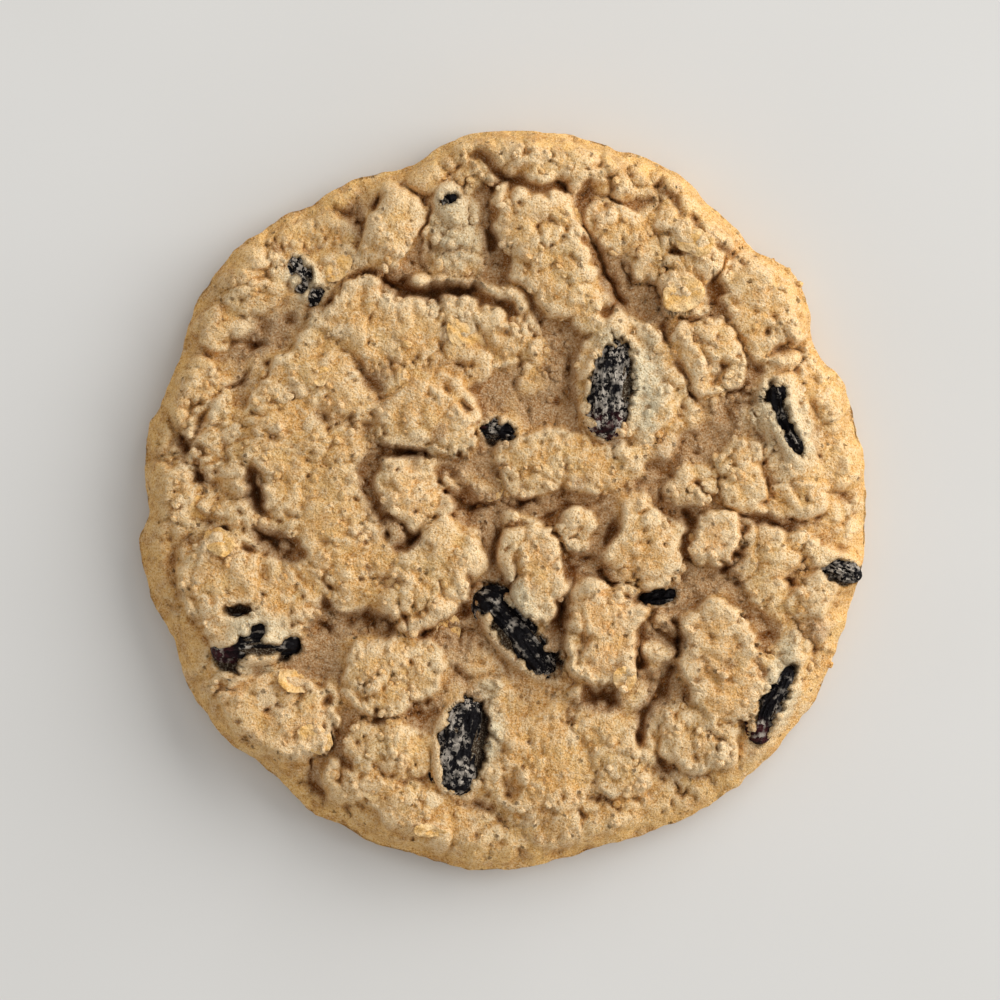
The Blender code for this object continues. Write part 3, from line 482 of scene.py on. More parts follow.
def edge_radius(angle):
    """Distance from the middle to the edge, in millimetres, in each direction given in radians."""
    low, high = CAD_BOX
    points = np.array(EDGE)
    middle = (points.max(0) + points.min(0)) / 2
    points = (points - middle) * (high.x - low.x) / MM / np.ptp(points[:, 0])
    at = np.unwrap(np.arctan2(points[:, 1], points[:, 0]))
    reach = np.hypot(points[:, 0], points[:, 1])
    turn = 2 * math.pi
    at = np.concatenate([at - turn, at, at + turn])
    reach = np.tile(reach, 3)
    steps = np.radians(np.linspace(-1.6, 1.6, 5))
    smooth = np.mean([np.interp(np.mod(angle, turn) + step, at, reach) for step in steps], axis=0)
    x, y = 42 * np.cos(angle), 42 * np.sin(angle)
    return smooth + 0.20 * noise(x, y, 4.2, 11) + 0.12 * noise(x, y, 1.7, 12)


def lump_top(lump, x, y, crisp):
    """Height of one lump: a crowned top, a steep broken edge, and far below outside it."""
    turn = math.radians(lump.turn)
    dx, dy = x - lump.x, y - lump.y
    along = (dx * math.cos(turn) + dy * math.sin(turn)) / lump.long
    across = (dy * math.cos(turn) - dx * math.sin(turn)) / lump.wide
    apart = (np.abs(along) ** 2.6 + np.abs(across) ** 2.6) ** (1 / 2.6)
    outside = (apart - 1.0) * min(lump.long, lump.wide)
    toward = math.radians(lump.toward)
    lean = lump.lean * (dx * math.cos(toward) + dy * math.sin(toward))
    crown = 0.7 * np.minimum(apart, 1.0) ** 2
    fall = crisp * np.maximum(outside + 0.25, 0.0) ** 1.2 / lump.edge ** 0.5
    return VALLEY_HEIGHT + lump.top + lean - crown - fall


def from_run(run, x, y):
    """Distance of points x, y from a line through the points of run."""
    nearest = np.full(x.shape, 1e9)
    for (ax, ay), (bx, by) in zip(run, run[1:]):
        ux, uy = bx - ax, by - ay
        share = np.clip(((x - ax) * ux + (y - ay) * uy) / (ux * ux + uy * uy), 0, 1)
        nearest = np.minimum(nearest, np.hypot(x - ax - share * ux, y - ay - share * uy))
    return nearest


def outline_gap(corners, x, y):
    """Signed distance in millimetres to a closed outline: negative inside."""
    gap = np.full(x.shape, 99.0)
    within = np.zeros(x.shape, bool)
    for (ax, ay), (bx, by) in zip(corners, corners[1:] + corners[:1]):
        along = ((x - ax) * (bx - ax) + (y - ay) * (by - ay)) / ((bx - ax) ** 2 + (by - ay) ** 2)
        along = np.clip(along, 0, 1)
        gap = np.minimum(gap, np.hypot(x - ax - along * (bx - ax), y - ay - along * (by - ay)))
        if ay != by:
            crosses = (y < ay) != (y < by)
            within ^= crosses & (x < ax + (y - ay) * (bx - ax) / (by - ay))
    return np.where(within, -gap, gap)


def lay_plates(x, y, height, jag, gaps):
    """Sets the flat plates into the dough, each with a gap round part of its edge."""
    flat, gold = np.zeros(x.shape), np.zeros(x.shape)
    for plate in PLATES:
        middle = np.mean(plate.corners, 0)
        gap = outline_gap(plate.corners, x + 1.5 * jag, y - 1.5 * jag) + 0.8 * jag
        level = VALLEY_HEIGHT + 0.9 * plate.top
        level = level + plate.rise_x * (x - middle[0]) + plate.rise_y * (y - middle[1])
        level = level + 0.26 * noise(x, y, 4.0, 38) + 0.1 * noise(x, y, 1.8, 39)
        cover = smooth_step(0.5 - gap / 0.5)
        height = height - (1 - cover) * PLATE_GAP * gaps * np.exp(-(np.maximum(gap, 0.0) / 0.8) ** 2)
        height = height * (1 - cover) + np.maximum(level, height - 0.5) * cover
        flat = np.maximum(flat, cover)
        gold = np.maximum(gold * (1 - cover), cover * plate.gold)
    return height, flat, gold


def raisin_middle(name):
    """Where a raisin's solid has its middle, in millimetres."""
    low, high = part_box("raisin_" + name)
    return (low + high) / 2 / MM


def raisin_cover(x, y, height):
    """Fits the dough to the raisins: a thin skin over each, and openings through which it shows.
    Returns the new height and how open the dough is."""
    ragged = 0.30 * noise(x, y, 2.1, 41) + 0.42 * noise(x, y, 0.95, 42) + 0.2 * noise(x, y, 0.6, 43)
    bare = np.zeros(x.shape)
    for name, raisin in RAISINS.items():
        middle = raisin_middle(name)
        apart = oval(x, y, middle.x, middle.y, raisin.long, raisin.wide, raisin.turn)
        fruit = middle.z + raisin.deep * np.sqrt(np.maximum(1 - apart ** 2, 0.0))
        over = apart < 1.0
        skin = np.where(over, np.maximum(height, fruit + 0.3), height)
        near = np.exp(-np.maximum(apart - 1.0, 0.0) * 2.2) * (apart < 2.2)
        height = np.where(over, skin, np.maximum(height, height + (fruit + 0.15 - height) * near * 0.8))
        for ox, oy, long, wide, turn in raisin.openings:
            out = (oval(x, y, ox, oy, long, wide, turn) - 1.0) * min(long, wide)
            shown = 1 - smooth_step((out + ragged * min(1.0, 0.75 * min(long, wide)) + 0.15) / 0.6)
            lip = np.exp(-((out - 0.5) / 0.5) ** 2) * 0.28
            floor = np.minimum(fruit - 0.9, height)
            height = (height + lip * (apart < 1.6)) * (1 - shown) + floor * shown
            bare = np.maximum(bare, shown)
    return height, bare


def dough_height(x, y, inside, relief):
    """Height of the dough's top in millimetres, and how bare it leaves the raisins."""
    wx = 1.00 * noise(x, y, 4.4, 1) + 0.45 * noise(x, y, 1.9, 2) + 0.22 * noise(x, y, 0.85, 3)
    wy = 1.00 * noise(x, y, 4.4, 4) + 0.45 * noise(x, y, 1.9, 5) + 0.22 * noise(x, y, 0.85, 6)
    shoulder = RIM_RISE * np.sqrt(1 - (1 - np.clip(inside / SHOULDER, 0, 1)) ** 2)
    climb = smooth_step(inside / MIDDLE_REACH)
    valley = RIM_HEIGHT + shoulder + (VALLEY_HEIGHT - RIM_HEIGHT - RIM_RISE) * climb
    valley = valley + climb * (0.35 * noise(x, y, 6.0, 7) - 0.1)
    crisp = 0.9 + 7.5 * smooth_step(0.55 + 1.1 * noise(x, y, 6.0, 8))
    blend = 10.0
    total = np.exp(blend * (valley - 8.0))
    for lump in LUMPS:
        total += np.exp(blend * (np.maximum(lump_top(lump, x + wx, y + wy, crisp), 0.0) - 8.0))
    height = np.log(total) / blend + 8.0
    jag = 0.34 * noise(x, y, 0.9, 36) + 0.20 * noise(x, y, 0.6, 37)
    gaps = 0.15 + 0.85 * smooth_step(0.55 + 1.5 * noise(x, y, 2.3, 34))
    height, flat, gold = lay_plates(x, y, height, jag, gaps)

    # Crumb: ragged ledges, then granules of three sizes, stronger on the broken ground than on the plates.
    broken = smooth_step(0.55 + 0.9 * noise(x, y, 8.5, 9)) * (1 - 0.85 * flat)
    layer = noise(x + wx, y + wy, 5.2, 31) + 0.5 * noise(x, y, 2.2, 32) + 0.28 * noise(x, y, 1.0, 33)
    height += (0.16 + 0.32 * broken) * ledges(layer, 0.42)
    large, _ = chips(x + 0.7 * wx, y + 0.7 * wy, 4.2, 21, jag)
    small, chip = chips(x - 0.5 * wx, y + 0.5 * wy, 2.3, 22, jag)
    tiny, _ = chips(x + 0.3 * wy, y - 0.3 * wx, 1.1, 23, jag)
    near_rim = 1 - smooth_step((inside - 3.0) / 6.0)
    height += (0.5 + 1.1 * broken) * (large - 0.2) + (0.4 + 0.5 * broken) * (small - 0.2)
    height += 0.28 * (tiny - 0.2)
    height += near_rim * (0.2 * (large - 0.2) + 0.3 * (small - 0.2))
    height += 0.26 * noise(x, y, 4.8, 24) + 0.14 * noise(x, y, 2.1, 25) + 0.07 * noise(x, y, 0.62, 26)

    # Wandering hairline cracks, and the larger cracks and pits that have a place of their own.
    vein = np.abs(noise(x + 0.8 * wx, y + 0.8 * wy, 7.5, 27))
    height -= 0.4 * np.exp(-(vein / 0.030) ** 2) * smooth_step(0.35 + noise(x, y, 10.0, 28))
    cracked = np.zeros(x.shape)
    rough = 0.45 + 1.0 * smooth_step(0.5 + 0.9 * noise(x, y, 1.5, 29))
    for crack in CRACKS:
        apart = from_run(crack.run, x + 0.45 * wx, y + 0.45 * wy)
        cut = np.exp(-(apart / (0.5 * crack.wide * rough)) ** 2.4)
        if crack.deep < WHOLE_CRACK:
            cut = cut * gaps
        cracked = np.maximum(cracked, cut * min(crack.deep / 2.0, 1.0))
        height -= CRACK_SHARE * crack.deep * cut
    nearest, tag = cells(x + 0.5 * wx, y + 0.5 * wy, 3.1, 30)
    pore = (tag > PORE_SHARE) * np.exp(-(nearest / (0.07 + 0.25 * (tag - PORE_SHARE))) ** 2)
    height -= pore

    # Towards the edge the crumb smooths out into the rounded rim.
    calm = np.sqrt(np.clip(inside / SHOULDER, 0, 1)).clip(0.4, 1)
    height = RIM_HEIGHT + (np.maximum(height, 3.4) - RIM_HEIGHT) * calm
    height = valley + (height - valley) * relief
    height, bare = raisin_cover(x, y, height)
    return np.maximum(height, 2.9), bare, np.maximum(cracked, pore), broken, chip, gold


def slopes(x, y, height):
    """How steeply the height rises along +X and +Y, on the curved net."""
    xi, xj = np.gradient(x)
    yi, yj = np.gradient(y)
    hi, hj = np.gradient(height)
    area = xi * yj - xj * yi
    area = np.where(np.abs(area) < 1e-9, 1e-9, area)
    return (hi * yj - hj * yi) / area, (xi * hj - xj * hi) / area


def disc_place(u, v):
    """A point of the square net (-1 to 1 each way) as a share of the radius and a direction."""
    share = np.maximum(np.abs(u), np.abs(v))
    flat = np.abs(u) >= np.abs(v)
    slope = np.where(flat, v / np.where(u == 0, 1, u), u / np.where(v == 0, 1, v))
    direction = np.where(flat, slope * math.pi / 4, math.pi / 2 - slope * math.pi / 4)
    direction += np.where((flat & (u < 0)) | (~flat & (v < 0)), math.pi, 0.0)
    return share, direction


def spots(x, y, places, ragged):
    """The strongest of several soft ovals at each point."""
    total = np.zeros(x.shape)
    for middle_x, middle_y, long, wide, turn, strength in places:
        apart = oval(x, y, middle_x, middle_y, long, wide, turn) + ragged
        total = np.maximum(total, strength * (1 - smooth_step((apart - 0.55) / 0.75)))
    return total


class Shell:
    """Points, faces and per-point shares of a closed mesh while it is being put together."""

    def __init__(self):
        self.points, self.faces, self.shares = [], [], []
        self.count = 0

    def add_points(self, points, shares):
        numbers = np.arange(self.count, self.count + len(points))
        self.points.append(points)
        self.shares.append(shares)
        self.count += len(points)
        return numbers

    def join_rings(self, outer, inner):
        """Faces between two closed rings, where inner has as many points as outer or half as many."""
        if len(outer) == len(inner):
            quads = np.stack([outer, np.roll(outer, -1), np.roll(inner, -1), inner], 1)
            self.faces.extend(quads.tolist())
            return
        for k, here in enumerate(inner):
            there = inner[(k + 1) % len(inner)]
            a, b, c = outer[2 * k], outer[2 * k + 1], outer[(2 * k + 2) % len(outer)]
            self.faces.append([int(a), int(b), int(here)])
            self.faces.append([int(b), int(c), int(there), int(here)])

    def mesh(self, name, share_names):
        made = bpy.data.meshes.new(name)
        made.from_pydata((np.concatenate(self.points) * MM).tolist(), [], self.faces)
        shares = np.concatenate(self.shares)
        for column, share_name in enumerate(share_names):
            layer = made.attributes.new(share_name, "FLOAT", "POINT")
            layer.data.foreach_set("value", shares[:, column].astype(np.float32))
        bm = bmesh.new()
        bm.from_mesh(made)
        bm.normal_update()
        bmesh.ops.recalc_face_normals(bm, faces=bm.faces)
        bm.to_mesh(made)
        bm.free()
        made.shade_smooth()
        return made


# Shares the finish reads: hollow, low and pit carry painted shade, highlight_peak a painted highlight,
# rim_brown browning that is cut back on the lit side as painted light.
SHARES = ("rim_brown", "hollow", "highlight_peak", "pale_skin", "stain", "bare", "underside", "broken", "chip",
          "low", "pit", "gold")


def shape_dough(settings):
    """The whole dough as one closed mesh: craggy top, rounded side, flat browned underside."""
    count = settings.net_cells
    line = np.linspace(-1, 1, count + 1)
    u, v = np.meshgrid(line, line, indexing="ij")
    share, direction = disc_place(u, v)
    edge = edge_radius(direction)
    reach = share * (edge - 0.12)
    x, y = reach * np.cos(direction), reach * np.sin(direction)
    inside = edge - np.hypot(x, y)
    height, bare, cracked, broken, chip, gold = dough_height(x, y, inside, settings.relief)

    # Steep sides lean outwards over the cracks, as torn dough does.
    sx, sy = slopes(x, y, blur(height, 1.2))
    steep = np.hypot(sx, sy)
    pull = settings.overhang * smooth_step(inside / 2.5) * (1 - 0.7 * bare) / (1 + 0.45 * steep)
    # Masks for painted shade: hollows and cracks (partly browning too), low ground and small pits are
    # darkened by the finish.
    hollow = np.clip((blur(height, 7.0) - height) / 1.6, 0, 1)
    hollow = np.maximum(hollow, np.clip(0.9 * cracked, 0, 1)) * smooth_step(inside / 2.5)
    low = np.clip((blur(height, 15.0) - blur(height, 2.0)) / 1.0, 0, 1) * smooth_step(inside / 5.0)
    # How far a point stands over its neighbours: the mask of the painted highlight on high edges.
    highlight_peak = np.clip((height - blur(height, 5.0)) / 0.9, 0, 1)
    highlight_peak = highlight_peak + np.clip((height - blur(height, 2.0)) / 0.35, 0, 1)
    highlight_peak = np.clip(0.7 * highlight_peak, 0, 1)
    pit = np.clip((blur(height, 2.0) - height) / 0.40, 0, 1) * smooth_step(inside / 2.0)
    ragged = 0.18 * noise(x, y, 2.4, 51) + 0.12 * noise(x, y, 0.9, 52)
    strip = 1 - smooth_step((inside - 0.9 - 1.6 * noise(x, y, 5.0, 53)) / 4.2)
    # Towards +X the rim's browning is cut back: painted light, keeping the side that faces the window
    # paler.
    strip = strip * (1 - 0.55 * smooth_step((x - 12) / 24))
    shares = np.stack([
        strip, hollow, highlight_peak, spots(x, y, PALE_SKINS, ragged), spots(x, y, STAINS, ragged), bare,
        np.zeros(x.shape), broken, chip, low, pit, gold,
    ], -1)
    x, y = x - pull * sx, y - pull * sy

    shell = Shell()
    top = shell.add_points(np.stack([x, y, height], -1).reshape(-1, 3), shares.reshape(-1, len(SHARES)))
    top = top.reshape(x.shape)
    quads = np.stack([top[:-1, :-1], top[1:, :-1], top[1:, 1:], top[:-1, 1:]], -1)
    shell.faces.extend(quads.reshape(-1, 4).tolist())
    ring = np.concatenate([top[:-1, 0], top[-1, :-1], top[:0:-1, -1], top[0, :0:-1]])
    around = np.concatenate([a.ravel() for a in (
        direction[:-1, 0], direction[-1, :-1], direction[:0:-1, -1], direction[0, :0:-1])])
    radius = edge_radius(around)
    along = 42 * around
    for inset, rise in SIDE:
        wrinkle = 0.16 * noise(along, np.full(along.shape, rise), 2.6, 61) * (rise > 0)
        wrinkle += 0.10 * noise(along, np.full(along.shape, 4.0 * rise), 1.1, 62) * (rise > 0)
        r = radius - inset + wrinkle
        points = np.stack([r * np.cos(around), r * np.sin(around), np.full(r.shape, rise)], 1)
        tone = np.zeros((len(r), len(SHARES)))
        tone[:, 0] = 1.0
        tone[:, 6] = 0.7 * smooth_step((0.9 - rise) / 0.9)
        made = shell.add_points(points, tone)
        shell.join_rings(ring, made)
        ring = made
    for inward, halve in ((0.97, 1), (0.93, 2), (0.88, 1), (0.8, 2), (0.72, 1), (0.62, 1), (0.5, 2),
                          (0.38, 1), (0.26, 2), (0.14, 1), (0.06, 1)):
        around, radius = around[::halve], radius[::halve]
        r = (radius - SIDE[-1][0]) * inward
        px, py = r * np.cos(around), r * np.sin(around)
        hollowed = 0.16 * smooth_step(0.4 + noise(px, py, 5.0, 63)) * smooth_step((1 - inward) / 0.1)
        tone = np.zeros((len(r), len(SHARES)))
        tone[:, 0] = 1.0
        tone[:, 6] = 1.0
        made = shell.add_points(np.stack([px, py, hollowed], 1), tone)
        shell.join_rings(ring, made)
        ring = made
    shell.faces.append([int(i) for i in ring])
    return shell.mesh("dough", SHARES), (x, y, height, bare)


# ---------------------------------------------------------------------------------------------------
# Nodes and finishes

def add(tree, kind, values=(), links=(), **settings):
    """Adds one node. settings are its own; values and links go to its inputs, by name or by number."""
    node = tree.nodes.new(kind)
    for name, value in settings.items():
        setattr(node, name, value)
    for socket, value in dict(values).items():
        node.inputs[socket].default_value = value
    for socket, source in dict(links).items():
        tree.links.new(source, node.inputs[socket])
    return node


class Finish:
    """A node material under construction, with short names for the nodes used again and again."""

    def __init__(self, name, roughness, specular):
        self.material = bpy.data.materials.new(name)
        self.material.use_nodes = True
        self.tree = self.material.node_tree
        self.shader = self.tree.nodes["Principled BSDF"]
        self.shader.inputs["Roughness"].default_value = roughness
        self.shader.inputs["Specular IOR Level"].default_value = specular
        self.place = add(self.tree, "ShaderNodeTexCoord").outputs["Object"]

    def grain(self, size, detail=3.0, rough=0.55, twist=0.0):
        """Noise whose features are about size millimetres across, 0 to 1."""
        values = {"Scale": 1.0 / (size * MM), "Detail": detail, "Roughness": rough, "Distortion": twist}
        return add(self.tree, "ShaderNodeTexNoise", values, {"Vector": self.place}).outputs["Fac"]

    def pores(self, size, feature="F1"):
        node = add(self.tree, "ShaderNodeTexVoronoi", {"Scale": 1.0 / (size * MM)},
                   {"Vector": self.place}, feature=feature)
        return node.outputs["Distance"], node.outputs["Color"]

    def share(self, name):
        return add(self.tree, "ShaderNodeAttribute", attribute_name=name).outputs["Fac"]

    def remap(self, source, low, high, to_low=0.0, to_high=1.0):
        values = {1: low, 2: high, 3: to_low, 4: to_high}
        return add(self.tree, "ShaderNodeMapRange", values, {0: source}, clamp=True).outputs[0]

    def math(self, operation, a, b=None):
        values, links = {}, {}
        for socket, item in ((0, a), (1, b)):
            if isinstance(item, (int, float)):
                values[socket] = item
            elif item is not None:
                links[socket] = item
        return add(self.tree, "ShaderNodeMath", values, links, operation=operation).outputs[0]

    def mix(self, factor, a, b, blend="MIX"):
        values, links = {}, {}
        for socket, item in ((0, factor), (6, a), (7, b)):
            if isinstance(item, bpy.types.NodeSocket):
                links[socket] = item
            elif isinstance(item, (int, float)):
                values[socket] = item
            else:
                values[socket] = (*item, 1.0)
        node = add(self.tree, "ShaderNodeMix", values, links, data_type="RGBA", blend_type=blend)
        return node.outputs[2]

    def colour(self, source):
        self.tree.links.new(source, self.shader.inputs["Base Color"])

    def rough(self, source):
        self.tree.links.new(source, self.shader.inputs["Roughness"])

    def bump(self, height, depth, strength=1.0):
        """Raises the surface by up to depth millimetres."""
        node = add(self.tree, "ShaderNodeBump", {"Distance": depth * MM, "Strength": strength},
                   {"Height": height})
        self.tree.links.new(node.outputs[0], self.shader.inputs["Normal"])


def speckle(f, tone, pale, dark):
    """Flour and sugar grains, and dark specks that are partly bran grains and partly painted shade between
    the grains, a quarter of a millimetre across.
    """
    fine = f.grain(0.24, 2.5, 0.7)
    tone = f.mix(f.remap(fine, 0.52, 0.66, 0.0, 0.70), tone, pale)
    return f.mix(f.remap(fine, 0.47, 0.36, 0.0, 0.85), tone, dark), fine


def dough_finish(settings):
    """Sandy baked crumb: golden tan, speckled, browner at the rim (cut back on the side facing the light,
    as painted light), pale over raisins, with painted shade and some browning in the cracks and hollows and
    a painted highlight on high edges.
    """
    f = Finish("baked dough", 0.85, 0.2)
    tone = f.mix(f.remap(f.grain(9.0, 2.0), 0.35, 0.65), settings.dough_light, settings.dough_warm)
    patch = f.remap(f.grain(2.2, 3.0, 0.6), 0.47, 0.66)
    tone = f.mix(f.math("MULTIPLY", patch, 0.85), tone, settings.dough_deep)
    golden = f.remap(f.share("chip"), 0.66, 0.86)
    tone = f.mix(f.math("MULTIPLY", golden, 0.6), tone, settings.dough_deep)
    tone = f.mix(f.math("MULTIPLY", f.share("gold"), f.remap(f.grain(2.4, 2.0), 0.38, 0.60)),
                 tone, settings.dough_gold)
    cream = f.math("MAXIMUM", f.remap(f.grain(1.3, 3.0, 0.6, 0.4), 0.53, 0.68),
                   f.remap(f.share("chip"), 0.22, 0.08))
    tone = f.mix(f.math("MULTIPLY", cream, 0.7), tone, settings.dough_pale_and_highlight)
    # Painted highlight: high edges and crumb tops are mixed towards the pale dough colour.
    highlight_peak = f.math("MULTIPLY", f.share("highlight_peak"), 0.75)
    tone = f.mix(highlight_peak, tone, settings.dough_pale_and_highlight)
    # The rim share is weaker towards +X, so besides browning it carries painted light on the lit side.
    rim = f.math("MULTIPLY", f.share("rim_brown"), f.remap(f.grain(3.0), 0.35, 0.65, 0.45, 0.98))
    baked = f.mix(f.remap(f.grain(1.8, 3.0, 0.6), 0.46, 0.62), settings.rim_colour, settings.rim_brown)
    tone = f.mix(rim, tone, baked)
    tone = f.mix(f.math("MULTIPLY", f.share("pale_skin"), f.remap(f.grain(1.2), 0.3, 0.6, 0.6, 1.0)),
                 tone, settings.skin_colour)
    tone = f.mix(f.math("MULTIPLY", f.share("stain"), 0.6), tone, settings.stain_colour)
    # Painted shade, partly browning: hollows, cracks and low ground darken towards the dusk and hollow
    # colours; small pits darken towards the pit colour as painted shade.
    hollow = f.share("hollow")
    dusk = f.math("MAXIMUM", f.remap(hollow, 0.20, 0.65, 0.0, 0.7),
                  f.remap(f.share("low"), 0.08, 0.6, 0.0, 0.9))
    tone = f.mix(dusk, tone, settings.dusk_shade_and_brown)
    tone = f.mix(f.math("MULTIPLY", f.share("pit"), 0.5), tone, settings.pit_shade_colour)
    tone = f.mix(f.remap(hollow, 0.45, 0.95, 0.0, 0.92), tone, settings.hollow_shade_and_brown)
    tone = f.mix(f.math("MULTIPLY", f.share("underside"), 0.8), tone, settings.under_colour)
    # Painted shade: the dough sinking into the gap round each shown raisin is painted nearly black.
    tone = f.mix(f.math("MULTIPLY", f.share("bare"), 0.95), tone, (0.03, 0.018, 0.012))
    grains = f.mix(0.5, tone, (1.0, 0.88, 0.66))
    shadows = f.mix(1.0, tone, (0.64, 0.44, 0.21), "MULTIPLY")
    tone, fine = speckle(f, tone, grains, shadows)
    # Painted shade in pores: scattered pores are painted dark brown.
    distance, number = f.pores(1.3)
    chosen = f.remap(number, 0.64, 0.74)
    ragged = f.math("ADD", distance, f.math("MULTIPLY", fine, 0.25))
    pore = f.math("MULTIPLY", f.remap(ragged, 0.36, 0.22), chosen)
    tone = f.mix(f.math("MULTIPLY", pore, 0.65), tone, (0.16, 0.07, 0.02))
    f.colour(tone)
    grit = f.math("ADD", f.math("MULTIPLY", f.grain(0.55, 3.0, 0.7), 1.0), f.math("MULTIPLY", fine, 0.5))
    f.bump(f.math("SUBTRACT", grit, f.math("MULTIPLY", pore, 0.5)), 0.5)
    return f.material


def raisin_finish(settings):
    """Nearly black furrows between ridges that are grey with flour and painted glints, wine red at one end.
    """
    f = Finish("raisin skin", 0.32, 0.09)
    skin = f.mix(f.math("MULTIPLY", f.share("wine"), f.remap(f.grain(1.4), 0.35, 0.6)),
                 settings.raisin_dark, settings.raisin_wine)
    ridge = f.math("ADD", f.share("ridge"), f.remap(f.grain(0.6, 3.0, 0.7), 0.25, 0.75, -1.3, 1.3))
    patch = f.math("ADD", f.share("dust"), f.remap(f.grain(1.5, 2.0), 0.3, 0.7, -0.35, 0.35))
    # Painted glint and flour: pale patches on the ridges stand for both flour dust and glints of light.
    dust_and_glint = f.math("MULTIPLY", f.remap(ridge, 0.52, 0.85), f.remap(patch, 0.15, 0.45))
    skin = f.mix(f.math("MULTIPLY", dust_and_glint, 0.92), skin, settings.raisin_dust_and_glint)
    f.colour(skin)
    f.rough(f.remap(dust_and_glint, 0.0, 0.5, 0.26, 0.85))
    f.bump(f.grain(0.45, 4.0, 0.6, 0.6), 0.35)
    return f.material


def flake_finish(settings):
    """Rolled oat: golden along the crease, creamy at its worn border, powdered with the same crumb."""
    f = Finish("rolled oat", 0.65, 0.3)
    gold = f.math("MULTIPLY", f.share("crease"), f.remap(f.grain(1.2, 2.0), 0.34, 0.52))
    tone = f.mix(f.remap(f.grain(1.6, 2.0), 0.38, 0.62), settings.oat_colour, settings.dough_light)
    tone = f.mix(gold, tone, settings.oat_gold)
    shadows = f.mix(1.0, tone, (0.62, 0.50, 0.36), "MULTIPLY")
    tone, fine = speckle(f, tone, settings.oat_colour, shadows)
    f.colour(tone)
    f.bump(f.math("ADD", f.math("MULTIPLY", fine, 0.4), f.grain(0.8, 3.0)), 0.45)
    return f.material


def floor_finish():
    f = Finish("pale floor", 0.55, 0.3)
    tone = f.mix(f.remap(f.grain(60.0, 2.0), 0.3, 0.7), (0.660, 0.652, 0.633), (0.687, 0.680, 0.664))
    f.colour(tone)
    return f.material


# ---------------------------------------------------------------------------------------------------
# Pieces

def settle(piece, material, nodes=()):
    """Gives a finished piece its material and its place on the frame, and hides the solids it stands for.
    """
    piece.data.materials.clear()
    piece.data.materials.append(material)
    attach(piece, "root")
    if nodes:
        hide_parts(*nodes)
    return piece


def new_piece(name, mesh):
    piece = bpy.data.objects.new(name, mesh)
    bpy.context.scene.collection.objects.link(piece)
    return piece


def shape_raisin(name, raisin, wrinkle):
    """A dried grape: an egg-like body drawn into lengthwise folds, with finer folds between them."""
    bm = bmesh.new()
    bmesh.ops.create_uvsphere(bm, u_segments=112, v_segments=64, radius=1.0)
    points = np.array([v.co for v in bm.verts])
    length = points[:, 2]
    around = np.arctan2(points[:, 1], points[:, 0])
    seed = 200 + 10 * sorted(RAISINS).index(name)
    turned = 2.6 * np.stack([np.cos(around), np.sin(around)])
    bend = 0.5 * noise(turned[0], turned[1] + 1.1 * length, 1.3, seed)
    first = 1 - np.abs(noise(turned[0] + bend, turned[1] + 0.8 * length, 1.25, seed + 1)) * 2.2
    second = 1 - np.abs(noise(1.9 * turned[0] + bend, 1.9 * turned[1] + 2.2 * length, 1.3, seed + 2)) * 2.0
    third = noise(4 * turned[0], 4 * turned[1] + 5.0 * length, 1.1, seed + 3)
    ends = np.sqrt(np.clip(1 - length ** 2, 0, 1))
    folds = (first.clip(-1, 1) * 0.5 + second.clip(-1, 1) * 0.38 + 0.12 * third) * ends
    dip = wrinkle * (folds - 0.75)
    shrink_y = (raisin.wide + dip) / raisin.wide
    shrink_z = (raisin.deep + dip) / raisin.deep
    taper = (1 - 0.14 * length) * 0.90 * np.sqrt(1 + length ** 2 + length ** 4)
    bow = 0.10 * raisin.wide * (1 - 2 * length ** 2)
    x = length * raisin.long * (1 + 0.02 * third)
    y = points[:, 0] * taper * raisin.wide * shrink_y + bow
    z = points[:, 1] * taper * raisin.deep * shrink_z
    turn = math.radians(raisin.turn)
    middle = raisin_middle(name)
    place = np.stack([
        middle.x + x * math.cos(turn) - y * math.sin(turn),
        middle.y + x * math.sin(turn) + y * math.cos(turn),
        middle.z + z,
    ], 1) * MM
    for vert, co in zip(bm.verts, place):
        vert.co = co
    mesh = bpy.data.meshes.new("fruit_" + name)
    bm.to_mesh(mesh)
    bm.free()
    fields = (("ridge", 0.5 + 0.5 * folds), ("dust", np.full(len(folds), raisin.dust)),
              ("wine", (name in WINE_TIPS) * smooth_step((-length - 0.3) / 0.4)))
    for share_name, share in fields:
        layer = mesh.attributes.new(share_name, "FLOAT", "POINT")
        layer.data.foreach_set("value", np.clip(share, 0, 1).astype(np.float32))
    mesh.shade_smooth()
    return mesh


def scatter_tree(name, sizes):
    """An empty Geometry Nodes tree with a mesh input, a mesh output and the named sizes."""
    tree = bpy.data.node_groups.new(name, "GeometryNodeTree")
    tree.interface.new_socket("Ground", in_out="INPUT", socket_type="NodeSocketGeometry")
    tree.interface.new_socket("Pieces", in_out="OUTPUT", socket_type="NodeSocketGeometry")
    for label, kind, value in sizes:
        socket = tree.interface.new_socket(label, in_out="INPUT", socket_type=kind)
        if value is not None:
            socket.default_value = value
    return tree, tree.nodes.new("NodeGroupInput"), tree.nodes.new("NodeGroupOutput")


